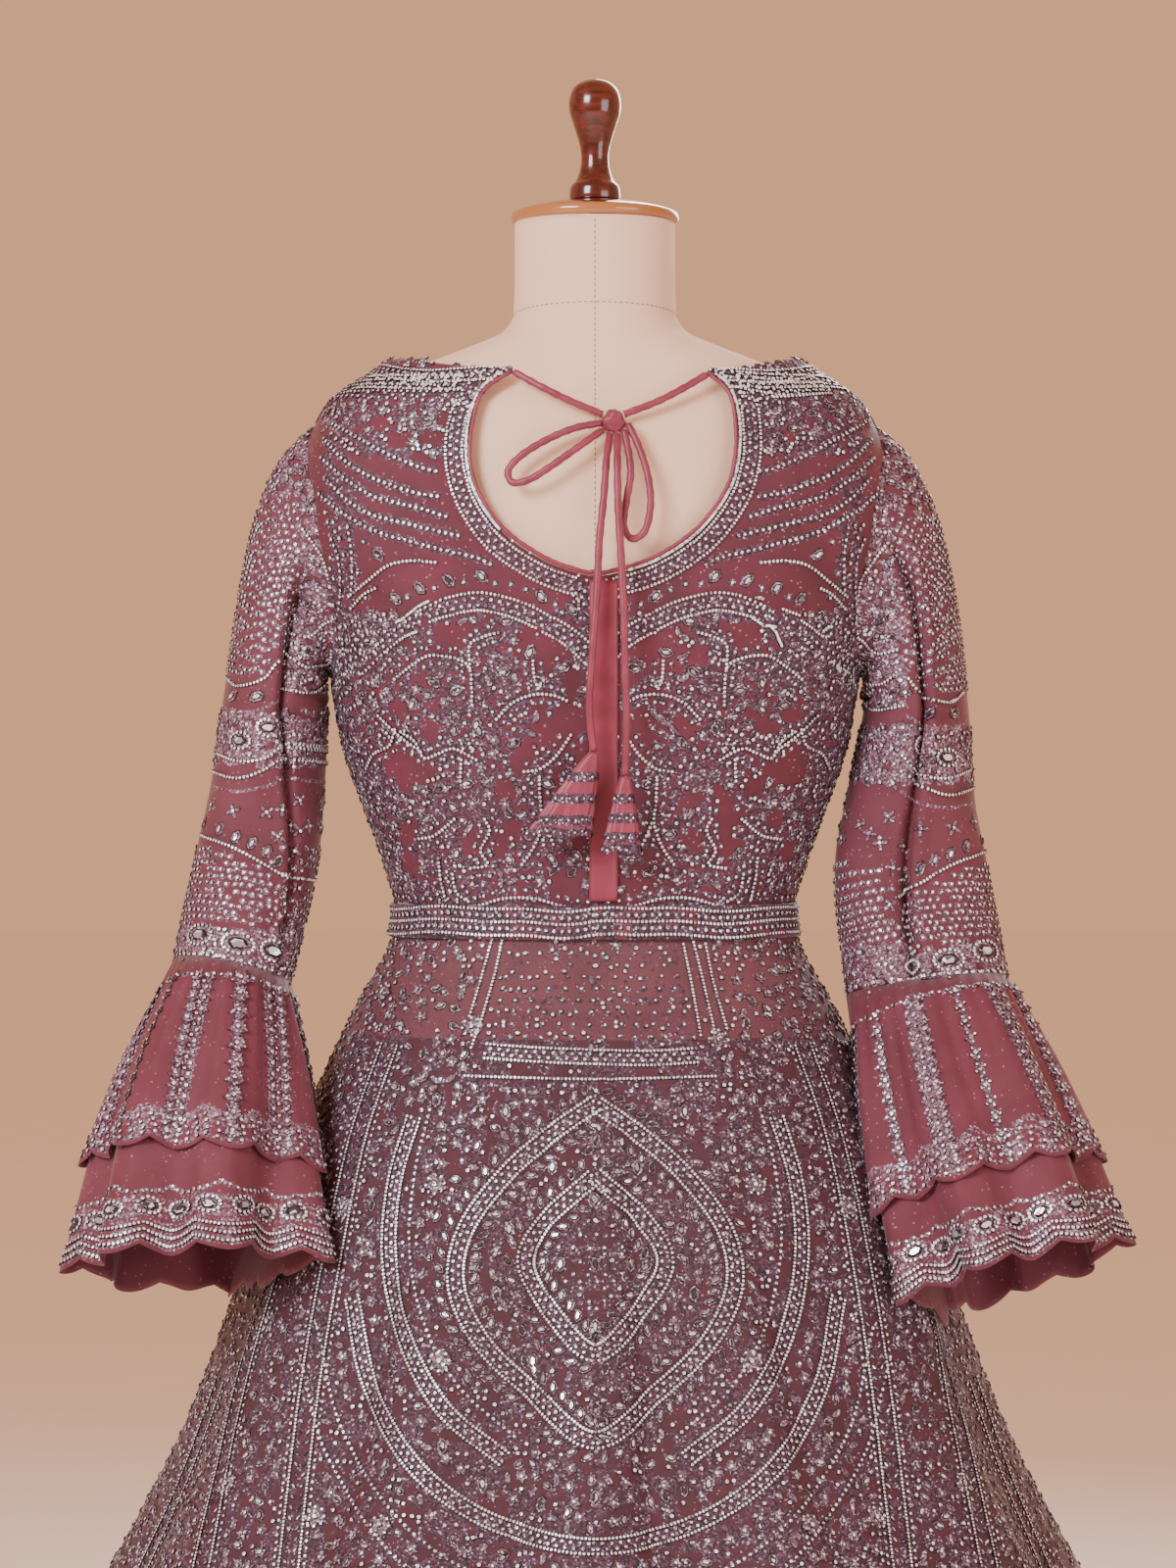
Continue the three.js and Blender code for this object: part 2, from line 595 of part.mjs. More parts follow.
addPiece("neck_binding_front", binding(frontEdge, 1, -1, FRONT_GAP, { 0: 1, [frontEdge.length - 1]: -1 }), "satin");

// ---- sleeves -----------------------------------------------------------------------------------

const SLEEVE_ROUND = 2 * ARMHOLE_SPANS;
const ARMHOLE_GAP = 1.2; // between the bodice's edge and the first ring of the sleeve

// One ring of a sleeve or flounce, square to the centre line, at a row number that may lie between
// two rows. It starts at the outer side and turns by way of the back.
function sleeveRing(rows, t, count, side, shape = () => 0) {
  const numbered = rows.map((row, i) => ({ ...row, number: i }));
  const value = (name, where) => column(numbered, name, "number")(where);
  const centre = (where) => new THREE.Vector3(value("x", where), value("y", where), value("z", where));
  const last = rows.length - 1;
  const down = centre(Math.min(t + 0.05, last)).sub(centre(Math.max(t - 0.05, 0))).normalize();
  const backwards = new THREE.Vector3(0, -1, 0);
  const outwards = new THREE.Vector3().crossVectors(backwards, down).multiplyScalar(side).normalize();
  const behind = new THREE.Vector3().crossVectors(down, outwards).multiplyScalar(side).normalize();
  return Array.from({ length: count }, (_, i) => {
    const turn = (2 * Math.PI * i) / count;
    const extra = shape(turn, t);
    return centre(t)
      .addScaledVector(outwards, (value("across", t) + extra) * Math.cos(turn))
      .addScaledVector(behind, (value("deep", t) + extra) * Math.sin(turn));
  });
}

// The armhole as a full ring just beyond the bodice's edge, with the bodice's normals there.
function armholeRing(side) {
  const spots = Array.from({ length: SLEEVE_ROUND }, (_, i) => {
    const behind = i <= ARMHOLE_SPANS;
    const share = behind ? 1 - i / ARMHOLE_SPANS : i / ARMHOLE_SPANS - 1;
    return armholeSpot(share, behind);
  });
  const points = spots.map(({ angle, z }) => bodyPoint(side * angle, z));
  const normals = spots.map(({ angle, z }) => bodyNormal(side * angle, z));
  const outwards = points.map((_, i) => {
    const ahead = points[(i + 1) % SLEEVE_ROUND];
    const behind = points[(i + SLEEVE_ROUND - 1) % SLEEVE_ROUND];
    const along = new THREE.Vector3().subVectors(ahead, behind);
    return along.cross(normals[i]).normalize().multiplyScalar(-side);
  });
  const moved = points.map((point, i) => point.clone().addScaledVector(outwards[i], ARMHOLE_GAP));
  return { points: moved, normals, outwards };
}

// Moves a point straight away from the axis until it is clear of the garment's outer form.
function clearOfBody(point, clear) {
  const angle = Math.atan2(point.x, -point.y);
  const surface = bodyPoint(angle, point.z);
  const needed = Math.hypot(surface.x, surface.y) + clear;
  const reach = Math.hypot(point.x, point.y);
  if (reach >= needed) return point;
  return new THREE.Vector3((point.x * needed) / reach, (point.y * needed) / reach, point.z);
}
const UNDERARM_CLEAR = 3.2;

// The cap bends from the armhole to the first ring of the arm, and the arm follows its table.
function sleeve(rows, side) {
  const start = armholeRing(side);
  const arm = [0, 1, 2, 2.5, 3].map((t) => sleeveRing(rows, t, SLEEVE_ROUND, side));
  const down = new THREE.Vector3().subVectors(arm[1][0], arm[0][0]).normalize();
  const capShares = [0, 0.2, 0.45, 0.72];
  const cap = capShares.map((t) => start.points.map((from, i) => {
    const to = arm[0][i];
    const span = from.distanceTo(to);
    const out = start.outwards[i].clone().add(new THREE.Vector3(1.2 * side, 0, 0)).normalize();
    const leave = from.clone().addScaledVector(out, Math.max(span * 0.27, 12));
    const enter = to.clone().addScaledVector(down, -span * 0.36);
    const point = new THREE.CubicBezierCurve3(from, leave, enter, to).getPoint(t);
    return t > 0 ? clearOfBody(point, UNDERARM_CLEAR * Math.min(1, t / 0.4)) : point;
  }));
  const grid = [...cap, ...arm];
  const normals = gridNormals(grid, true);
  const flip = normals[0][0].dot(start.normals[0]) < 0 ? -1 : 1;
  const facing = normals.map((row) => row.map((normal) => normal.multiplyScalar(flip)));
  return clothWall(grid, { ring: true, normals: facing });
}
addPiece("sleeve_left", sleeve(SLEEVE_LEFT, -1), "net");
addPiece("sleeve_right", sleeve(SLEEVE_RIGHT, 1), "net");

// ---- flounces ----------------------------------------------------------------------------------

// A flounce hangs from the cuff ring and widens in waves to a scalloped hem.
function flounce(sleeveRows, rows, side, inset, clear) {
  const cuffRow = { ...sleeveRows[sleeveRows.length - 1], wave: 0 };
  cuffRow.across -= inset;
  cuffRow.deep -= inset;
  const before = sleeveRows[sleeveRows.length - 2];
  const cuff = sleeveRing([{ ...before, wave: 0 }, cuffRow], 1, FLOUNCE_ROUND, side);
  const down = new THREE.Vector3(cuffRow.x - before.x, cuffRow.y - before.y, cuffRow.z - before.z).normalize();
  const seam = cuff.map((point) => point.addScaledVector(down, CUFF_GAP));
  const wave = column(rows.map((row, number) => ({ ...row, number })), "wave", "number");
  const last = rows.length - 1;
  const below = steps(2 * last).map((share) => {
    const t = share * last;
    const bend = (turn) => wave(t) * Math.cos(FLOUNCE_WAVES * turn);
    return sleeveRing(rows, t, FLOUNCE_ROUND, side, bend).map((point, i) => {
      const turn = (2 * Math.PI * i) / FLOUNCE_ROUND;
      const drop = SCALLOP * share ** 4 * Math.abs(Math.cos(FLOUNCE_WAVES * turn));
      return clearOfBody(point.setZ(point.z - drop), clear);
    });
  });
  return clothWall([seam, ...below], { ring: true });
}
const FLOUNCE_ROUND = 4 * FLOUNCE_WAVES;
const CUFF_GAP = 1.1;
const LOWER_INSET = CLOTH + SEAM_GAP;
const sleeveEnds = {
  left: { arm: SLEEVE_LEFT, upper: FLOUNCE_LEFT, hem: LOWER_HEM_LEFT, side: -1 },
  right: { arm: SLEEVE_RIGHT, upper: FLOUNCE_RIGHT, hem: LOWER_HEM_RIGHT, side: 1 },
};
for (const [name, { arm, upper, hem, side }] of Object.entries(sleeveEnds)) {
  const inside = upper.map((row) => ({ ...row, across: row.across - TIERS_APART, deep: row.deep - TIERS_APART }));
  addPiece(`flounce_upper_${name}`, flounce(arm, upper, side, 0, FLOUNCE_CLEAR), "net");
  const lowerClear = FLOUNCE_CLEAR + TIERS_APART;
  addPiece(`flounce_lower_${name}`, flounce(arm, [...inside, hem], side, LOWER_INSET, lowerClear), "net");
}

// ---- waist band, peplum and skirt --------------------------------------------------------------

function ringWall(heights, lift, thickness, round) {
  const spots = heights.map((z) => Array.from({ length: round }, (_, i) => ({
    angle: (2 * Math.PI * i) / round,
    z,
  })));
  const rows = spots.map((row) => row.map(({ angle, z }) => (
    bodyPoint(angle, z).addScaledVector(bodyNormal(angle, z), lift)
  )));
  return clothWall(rows, { ring: true, thickness });
}
const BAND_THICKNESS = 1.8;
const bandLift = CLOTH / 2 + 4.6 * SEAM_GAP + BAND_THICKNESS / 2;
addPiece("waist_band", ringWall([BAND_LOW, BAND_HIGH], bandLift, BAND_THICKNESS, 48), "satin");

// Half of a flared panel between two side seams, over the back or the front.
function flaredHalf(heights, spans, middleAngle, insetAt) {
  const spots = heights.map((z) => steps(spans).map((t) => {
    const inset = insetAt(z);
    const reach = Math.PI / 2 - SEAM_GAP / 2 / (bodyHalf(z) - inset);
    return { angle: middleAngle + mix(-reach, reach, t), z, inset };
  }));
  return clothWall(spots.map((row) => row.map(({ angle, z, inset }) => bodyPoint(angle, z, inset))), {
    normals: spots.map((row) => row.map(({ angle, z, inset }) => bodyNormal(angle, z, inset))),
  });
}
const peplumHeights = [WAIST_SEAM - SEAM_GAP, BAND_LOW - 2, 1010, 930, 812, 650, PEPLUM_HEM];
addPiece("peplum_back", flaredHalf(peplumHeights, 24, 0, () => 0), "net");
addPiece("peplum_front", flaredHalf(peplumHeights, 24, Math.PI, () => 0), "net");

// The skirt leaves its waistband close to the form and soon hangs just inside the peplum.
const formHalf = column(FORM, "half");
const WAISTBAND_EASE = 1.6;
const skirtHeights = [SKIRT_TOP, 930, 812, 650, 480, 240, SKIRT_HEM];

function skirtInsetAt(z) {
  const atWaist = bodyHalf(SKIRT_TOP) - formHalf(SKIRT_TOP) - 3.5;
  const fade = Math.max(0, (z - 900) / (SKIRT_TOP - 900)) ** 1.5;
  return mix(skirtInset(z), atWaist, fade);
}
addPiece("skirt_back", flaredHalf(skirtHeights, 24, 0, skirtInsetAt), "lining");
addPiece("skirt_front", flaredHalf(skirtHeights, 24, Math.PI, skirtInsetAt), "lining");

// ---- dress form --------------------------------------------------------------------------------

const formBack = column(FORM, "back");
const formFront = column(FORM, "front");

function formPoint(angle, z, ease = 0) {
  const half = formHalf(z) + ease;
  const radius = sectionRadius(angle, half, formBack(z) + ease, formFront(z) + ease, FORM_SQUARE);
  const x = radius * Math.sin(angle);
  const y = -radius * Math.cos(angle);
  const apart = (Math.abs(x) - BUST_APART) / BUST_SPREAD;
  const bust = y > 0 ? bustRise(z) * Math.exp(-apart * apart) * Math.min(1, y / 60) : 0;
  return new THREE.Vector3(x, y + bust, z);
}

function formRing(z, ease, count) {
  return Array.from({ length: count }, (_, i) => formPoint((2 * Math.PI * i) / count, z, ease));
}
addPiece("dress_form", lofted(FORM.map(({ z }) => formRing(z, 0, FORM_ROUND)).reverse()), "formCloth");

const waistbandRings = [SKIRT_TOP + SEAM_GAP, WAISTBAND_HIGH].map((z) => formRing(z, WAISTBAND_EASE, FORM_ROUND));
addPiece("skirt_waistband", clothWall(waistbandRings, { ring: true }), "lining");

function turned(profile, sides) {
  const outline = profile.map(({ r, z }) => new THREE.Vector2(r, z));
  return new THREE.LatheGeometry(outline, sides).rotateX(Math.PI / 2);
}
addPiece("neck_cap", turned(NECK_CAP, 28), "wood");
addPiece("neck_knob", turned(KNOB, 16), "wood");
addPiece("stand_base", turned(STAND_BASE, 28), "metal");

const POLE = { low: STAND_BASE[STAND_BASE.length - 1].z + 0.3, high: FORM[FORM.length - 1].z - 0.3 };
const pole = new THREE.CylinderGeometry(POLE_RADIUS, POLE_RADIUS, POLE.high - POLE.low, 20).rotateX(Math.PI / 2);
addPiece("stand_pole", pole.translate(0, 0, (POLE.high + POLE.low) / 2), "metal");

// ---- neck tie ----------------------------------------------------------------------------------

function cordTube(route) {
  const path = new THREE.CatmullRomCurve3(route.map(({ x, y, z }) => new THREE.Vector3(x, y, z)));
  const section = new THREE.Shape();
  for (let i = 0; i < TIE_SIDES; i += 1) {
    const turn = (2 * Math.PI * i) / TIE_SIDES;
    const corner = [(TIE / 2) * Math.cos(turn), (TIE / 2) * Math.sin(turn)];
    if (i === 0) section.moveTo(...corner);
    else section.lineTo(...corner);
  }
  const count = Math.round(path.getLength() / (2.8 * TIE));
  return new THREE.ExtrudeGeometry(section, { steps: count, extrudePath: path, bevelEnabled: false });
}
for (const [name, route] of Object.entries(TIE_ROUTES)) {
  addPiece(name, cordTube(route), "satin");
}
const knot = new THREE.SphereGeometry(KNOT.radius, 12, 8).scale(1, 0.55, 1);
addPiece("tie_knot", knot.translate(KNOT.x, KNOT.y, KNOT.z), "satin");

// A tassel is a flattened cone of folded cloth, hanging from the end of a tail.
function tassel({ x, y, z, length, width, lean }) {
  const sections = steps(4).map((t) => {
    const half = mix(3, width / 2, t ** 0.8);
    const thick = mix(3, 6, t);
    return Array.from({ length: 10 }, (_, i) => {
      const turn = (2 * Math.PI * i) / 10;
      return new THREE.Vector3(
        x + lean * t + half * Math.cos(turn),
        y + thick * Math.sin(turn),
        z - 0.4 - length * t,
      );
    });
  });
  return lofted(sections);
}
addPiece("tie_tassel_left", tassel(TASSEL_LEFT), "satin");
addPiece("tie_tassel_right", tassel(TASSEL_RIGHT), "satin");

export default group;
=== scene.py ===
import math

import bpy
import numpy as np
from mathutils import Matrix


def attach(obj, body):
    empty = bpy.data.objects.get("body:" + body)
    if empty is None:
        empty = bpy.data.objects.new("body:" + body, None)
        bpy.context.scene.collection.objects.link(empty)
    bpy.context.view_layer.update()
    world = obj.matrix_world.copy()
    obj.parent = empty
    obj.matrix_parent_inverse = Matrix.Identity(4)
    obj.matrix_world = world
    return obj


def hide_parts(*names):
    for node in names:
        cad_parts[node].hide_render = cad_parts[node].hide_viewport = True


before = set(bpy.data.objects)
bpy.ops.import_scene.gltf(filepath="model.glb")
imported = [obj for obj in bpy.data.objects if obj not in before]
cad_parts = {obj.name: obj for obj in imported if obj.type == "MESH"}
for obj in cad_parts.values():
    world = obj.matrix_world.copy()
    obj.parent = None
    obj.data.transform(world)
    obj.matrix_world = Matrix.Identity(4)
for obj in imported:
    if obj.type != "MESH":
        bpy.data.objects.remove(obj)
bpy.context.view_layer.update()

# ---- Studio ------------------------------------------------------------------------------------
# A plain pale floor under soft light from three large lamps, and a camera at chest height, level
# with the garment's back and three metres from it.
MM = 0.001  # the tables below are in millimetres
CAMERA_AWAY, SEEN_HIGH = 3.0, 1.144  # metres to the stand, and the height taken in there
SENSOR = 36
AIM = (0.0, 0.0, 1.1)

camera = bpy.data.objects.new("camera", bpy.data.cameras.new("camera"))
camera.location = (-0.005, -CAMERA_AWAY, 1.169)
camera.rotation_euler = (math.pi / 2, 0, 0)
camera.data.sensor_width = SENSOR
camera.data.lens = SENSOR * CAMERA_AWAY / SEEN_HIGH
bpy.context.collection.objects.link(camera)
bpy.context.scene.camera = camera

LAMPS = [
    {"name": "key", "place": (-1.9, -2.6, 2.6), "wide": 1.3, "watts": 135,
     "tint": (0.93, 0.96, 1.0)},
    {"name": "fill", "place": (2.3, -2.3, 1.5), "wide": 1.8, "watts": 40,
     "tint": (0.93, 0.96, 1.0)},
    {"name": "behind", "place": (0.9, 2.7, 2.6), "wide": 1.6, "watts": 60,
     "tint": (0.95, 0.97, 1.0)},
]
for lamp in LAMPS:
    light = bpy.data.lights.new(lamp["name"], "AREA")
    light.size, light.energy, light.color = lamp["wide"], lamp["watts"], lamp["tint"]
    holder = bpy.data.objects.new(lamp["name"], light)
    holder.location = lamp["place"]
    aim = np.array(AIM) - np.array(lamp["place"])
    holder.rotation_euler = (math.acos(-aim[2] / np.linalg.norm(aim)), 0,
                             math.atan2(-aim[0], aim[1]))
    bpy.context.collection.objects.link(holder)

room = bpy.data.worlds.new("room")
room.use_nodes = True
room.node_tree.nodes["Background"].inputs["Color"].default_value = (1.0, 0.49, 0.265, 1)
room.node_tree.nodes["Background"].inputs["Strength"].default_value = 0.86
bpy.context.scene.world = room


# A finish is a shader with its plain values, and the grain, weave or glitter is added to it.
def finish(name, colour, roughness, **values):
    made = bpy.data.materials.new(name)
    made.use_nodes = True
    shader = made.node_tree.nodes["Principled BSDF"]
    shader.inputs["Base Color"].default_value = (*colour, 1)
    shader.inputs["Roughness"].default_value = roughness
    for socket, value in values.items():
        shader.inputs[socket.replace("_", " ")].default_value = value
    return made


def node(made, kind, links=(), **values):
    added = made.node_tree.nodes.new("ShaderNode" + kind)
    for name, value in values.items():
        if hasattr(added, name):
            setattr(added, name, value)
        else:
            added.inputs[name.replace("_", " ")].default_value = value
    for socket, source in links:
        made.node_tree.links.new(source, added.inputs[socket])
    return added


def into_shader(made, socket, source):
    made.node_tree.links.new(source, made.node_tree.nodes["Principled BSDF"].inputs[socket])


def place_on(made):
    return node(made, "TexCoord").outputs["Object"]


def stops(made, source, rows, between="LINEAR"):
    ramp = node(made, "ValToRGB", [("Fac", source)])
    ramp.color_ramp.interpolation = between
    while len(ramp.color_ramp.elements) < len(rows):
        ramp.color_ramp.elements.new(0.5)
    for element, (at, colour) in zip(ramp.color_ramp.elements, rows):
        element.position = at
        element.color = (*colour, 1)
    return ramp.outputs["Color"]


def bump(made, height, depth, strength=1.0):
    bumped = node(made, "Bump", [("Height", height)], Distance=depth, Strength=strength)
    into_shader(made, "Normal", bumped.outputs["Normal"])


def full_turn(count):
    return np.linspace(0, 2 * math.pi, count, endpoint=False)


floor_finish = finish("floor_paint", (0.88, 0.87, 0.86), 0.9)
floor_grain = node(floor_finish, "TexNoise", [("Vector", place_on(floor_finish))], Scale=6,
                   Detail=3)
into_shader(floor_finish, "Base Color", stops(floor_finish, floor_grain.outputs["Fac"], [
    (0.3, (0.965, 0.955, 0.945)), (0.7, (0.985, 0.975, 0.965))]))
ring = full_turn(64)
floor_mesh = bpy.data.meshes.new("floor")
floor_mesh.from_pydata([(30 * math.cos(a), 30 * math.sin(a), 0) for a in ring], [],
                       [list(range(64))])
floor = bpy.data.objects.new("floor", floor_mesh)
floor_mesh.materials.append(floor_finish)
bpy.context.collection.objects.link(floor)


# ---- Dress form --------------------------------------------------------------------------------
# A limbless papier-mache bust, padded and covered with tightly drawn cotton. Its cover is sewn
# down the centre back and front and round the base of the neck with small running stitches.
# Rows of a table, each value under its column's name.
def table(names, rows):
    return [dict(zip(names.split(), row)) for row in rows]


# Height, half the width, and how far it stands out behind and before the axis.
FORM = table("z half back front", [
    (1577, 58.5, 58.5, 58.5), (1545, 58.5, 58.5, 58.5), (1511, 59.5, 59.5, 59.5),
    (1498, 67, 63, 59), (1487, 91, 67, 60), (1479, 112, 70, 62), (1471, 132, 72.5, 64),
    (1464, 149.5, 73.5, 65.5), (1456, 173.5, 74, 67), (1440, 187, 83, 75), (1400, 190, 94, 87),
    (1350, 184, 101, 102), (1290, 178, 103, 117), (1240, 176, 99, 124), (1190, 167, 92, 118),
    (1130, 149, 84, 105), (1075, 137, 80, 97), (1035, 142, 84, 99), (990, 155, 97, 104),
    (930, 168, 109, 110), (870, 172, 111, 110), (820, 168, 106, 104),
])
FORM_SQUARE = 2.2
BUST = table("z rise", [
    (1340, 0), (1290, 12), (1240, 20), (1190, 12), (1140, 0),
])
BUST_APART, BUST_SPREAD = 84, 46


# One column of a table as a smooth curve of another column.
def column(rows, name, along="z"):
    rows = sorted(rows, key=lambda row: row[along])
    at = np.array([float(row[along]) for row in rows])
    value = np.array([float(row[name]) for row in rows])
    step, slope = np.diff(at), np.diff(value) / np.diff(at)
    tangent = np.concatenate([slope[:1], np.zeros(len(at) - 2), slope[-1:]])
    for i in range(1, len(at) - 1):
        product = slope[i - 1] * slope[i]
        tangent[i] = 0 if product <= 0 else 2 * product / (slope[i - 1] + slope[i])

    def curve(where):
        where = np.clip(where, at[0], at[-1])
        i = np.clip(np.searchsorted(at, where) - 1, 0, len(step) - 1)
        t, enter, leave = (where - at[i]) / step[i], tangent[i] * step[i], tangent[i + 1] * step[i]
        rise = value[i + 1] - value[i]
        bend = 3 * rise - 2 * enter - leave + t * (enter + leave - 2 * rise)
        return value[i] + t * (enter + t * bend)

    return curve


bust_rise = column(BUST, "rise")


# Distance from the axis to a squared ellipse. Angle 0 is the centre back, a quarter turn is +X.
def section_radius(angle, half, back, front, square):
    depth = np.where(np.cos(angle) > 0, back, front)
    sideways = np.abs(np.sin(angle)) / half
    lengthways = np.abs(np.cos(angle)) / depth
    return (sideways ** square + lengthways ** square) ** (-1 / square)


def with_bust(x, y, z):
    rise = bust_rise(z) * np.exp(-(((np.abs(x) - BUST_APART) / BUST_SPREAD) ** 2))
    y = y + np.where(y > 0, rise * np.clip(y / 60, 0, 1), 0)
    return np.stack([x, y, z + 0 * x], axis=-1)


form_half, form_back, form_front = (column(FORM, name) for name in ("half", "back", "front"))


def form_point(angle, z, ease=0.0):
    radius = section_radius(angle, form_half(z) + ease, form_back(z) + ease, form_front(z) + ease,
                            FORM_SQUARE)
    return with_bust(radius * np.sin(angle), -radius * np.cos(angle), z)


# Makes a piece from points in millimetres and faces of three or four corners.
def piece(name, points, faces, finishes, slot, replaced=(), numbers=None, smooth=True):
    mesh = bpy.data.meshes.new(name)
    faces = [np.asarray(part) for part in (faces if isinstance(faces, list) else [faces])
             if len(part)]
    mesh.vertices.add(len(points))
    mesh.vertices.foreach_set("co", (np.asarray(points, dtype=np.float64) * MM).ravel())
    sizes = np.concatenate([np.full(len(part), part.shape[1]) for part in faces])
    mesh.loops.add(int(sizes.sum()))
    mesh.loops.foreach_set("vertex_index",
                           np.concatenate([part.ravel() for part in faces]).astype(np.int32))
    mesh.polygons.add(len(sizes))
    mesh.polygons.foreach_set("loop_start",
                              np.concatenate([[0], np.cumsum(sizes)[:-1]]).astype(np.int32))
    for made in finishes:
        mesh.materials.append(made)
    if numbers is not None:
        mesh.polygons.foreach_set("material_index", np.asarray(numbers, dtype=np.int32))
    mesh.polygons.foreach_set("use_smooth", np.broadcast_to(smooth, len(sizes)).copy())
    mesh.update(calc_edges=True)
    mesh.validate()
    made = bpy.data.objects.new(name, mesh)
    bpy.context.collection.objects.link(made)
    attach(made, "root")
    if replaced:
        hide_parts(*replaced)
    return made


# Corners of the faces of a grid of points, from row 0 up and from column 0 round.
def grid_faces(rows, wide, ring=False, first=0):
    i, j = np.meshgrid(np.arange(rows - 1), np.arange(wide if ring else wide - 1), indexing="ij")
    a, b = i * wide + j, i * wide + (j + 1) % wide
    return first + np.stack([a, b, b + wide, a + wide], axis=-1).reshape(-1, 4)


FORM_SIDES = 72
form_turns = full_turn(FORM_SIDES)
form_heights = np.concatenate([np.linspace(820, 1440, 44), np.linspace(1444, 1577, 46)])
form_grid = form_point(form_turns[None, :], form_heights[:, None]).reshape(-1, 3)
# The two ends, under the neck cap and inside the skirt, are out of sight. Each is closed over the
# nearest 96 points, which are a ring and a third of the next.
FORM_END = 96
form_ends = [list(range(FORM_END))[::-1], list(range(len(form_grid) - FORM_END, len(form_grid)))]

COTTON = (0.94, 0.65, 0.475)
cotton = finish("form_cotton", COTTON, 0.8, Sheen_Weight=0.25, Sheen_Roughness=0.5)
cotton_spot = place_on(cotton)
cotton_weave = node(cotton, "TexWave", [("Vector", cotton_spot)], Scale=520, Distortion=1.5,
                    bands_direction="X")
cotton_cross = node(cotton, "TexWave", [("Vector", cotton_spot)], Scale=520, Distortion=1.5,
                    bands_direction="Z")
cotton_threads = node(cotton, "Math",
                      [(0, cotton_weave.outputs["Fac"]), (1, cotton_cross.outputs["Fac"])],
                      operation="ADD")
cotton_age = node(cotton, "TexNoise", [("Vector", cotton_spot)], Scale=14, Detail=4)
into_shader(cotton, "Base Color", stops(cotton, cotton_age.outputs["Fac"], [
    (0.3, (0.92, 0.625, 0.45)), (0.7, (0.96, 0.68, 0.505))]))
bump(cotton, cotton_threads.outputs["Value"], 0.0002, 0.5)
piece("form_bust", form_grid,
      [grid_faces(len(form_heights), FORM_SIDES, True), np.array(form_ends)],
      [cotton], "form_cloth", ["dress_form"])

# The seams' stitches are short dashes of brown thread lying on the cover.
STITCH, STITCH_STEP = 2.2, 4.2


def stitches(route):
    lengths = np.concatenate([[0], np.cumsum(np.linalg.norm(np.diff(route, axis=0), axis=1))])
    starts = np.arange(1, lengths[-1] - STITCH, STITCH_STEP)
    points, faces = [], []
    for start in starts:
        ends = [np.array([np.interp(s, lengths, route[:, k]) for k in range(3)])
                for s in (start, start + STITCH)]
        outward = ends[0] * (1, 1, 0) / max(np.hypot(*ends[0][:2]), 1e-6)
        side = np.cross(ends[1] - ends[0], outward)
        side *= 0.35 / max(np.linalg.norm(side), 1e-6)
        first = len(points)
        for end in ends:
            points += [end - side + outward * 0.02, end + outward * 0.35,
                       end + side + outward * 0.02]
        faces += [[first, first + 1, first + 4, first + 3],
                  [first + 1, first + 2, first + 5, first + 4]]
    return np.array(points), np.array(faces)


seam_rows = np.linspace(1321, 1576, 90)
neck_turns = np.linspace(0, 2 * math.pi, 160)
neck_drop = 1509 + 5 * np.cos(neck_turns)
seam_routes = [form_point(np.full(90, turn), seam_rows) for turn in (0.0, math.pi)]
seam_routes.append(np.array([form_point(turn, z) for turn, z in zip(neck_turns, neck_drop)]))
stitched = [stitches(route) for route in seam_routes]
stitch_points = np.concatenate([points for points, _ in stitched])
offsets = np.cumsum([0] + [len(points) for points, _ in stitched[:-1]])
stitch_faces = np.concatenate([faces + offset for (_, faces), offset in zip(stitched, offsets)])
brown_thread = finish("brown_thread", (0.20, 0.10, 0.06), 0.7)
thread_twist = node(brown_thread, "TexNoise", [("Vector", place_on(brown_thread))], Scale=900)
bump(brown_thread, thread_twist.outputs["Fac"], 0.0002)
piece("form_stitches", stitch_points, stitch_faces, [brown_thread], "form_cloth")


# ---- Turned wood and stand ---------------------------------------------------------------------
# The neck cap is a turned disc of red-stained hardwood with a knob to lift the form by. Its rim is
# rubbed through to paler wood. Below the form a steel pole stands in a round cast foot.
KNOB = [(0, 1594.4), (17.9, 1594.4), (18.6, 1598), (18.2, 1602.7), (17.2, 1605.5), (14.3, 1608.4),
        (12.2, 1612.7), (10.4, 1620), (10, 1626), (11, 1634), (12.9, 1641), (16.4, 1652),
        (18.6, 1659),
        (19.1, 1665), (18.2, 1671), (15.7, 1676.6), (10, 1681), (4, 1682.7), (0, 1683)]
NECK_CAP = [(0, 1577.4), (57.5, 1577.4), (60, 1578.5), (61.2, 1581.5), (60.2, 1584.6), (56, 1586.6),
            (40, 1590.4), (19, 1593.6), (0, 1594)]
STAND_BASE = [(0, 0), (176, 0), (180, 3), (180, 10), (174, 14), (40, 20), (22, 34), (0, 34)]
STAND_POLE = [(0, 34.3), (14, 34.3), (14, 819.7), (0, 819.7)]
TURNED_SIDES = 48


# A profile of radius and height turned round the axis. Corners are kept, curves are rounded.
def turned(name, profile, round_steps, finishes, slot, replaced):
    radii, heights = np.array(profile, dtype=float).T
    along = np.arange(len(radii))
    fine = np.linspace(0, len(radii) - 1, (len(radii) - 1) * round_steps + 1)
    if round_steps > 1:
        rows = [{"at": k, "r": r, "z": z} for k, r, z in zip(along, radii, heights)]
        radii, heights = column(rows, "r", "at")(fine), column(rows, "z", "at")(fine)
    radii = np.maximum(radii, 0.02)
    turns = full_turn(TURNED_SIDES)
    points = np.stack([radii[:, None] * np.cos(turns), radii[:, None] * np.sin(turns),
                       heights[:, None] + 0 * turns], axis=-1).reshape(-1, 3)
    return piece(name, points, grid_faces(len(radii), TURNED_SIDES, True), finishes, slot, replaced)


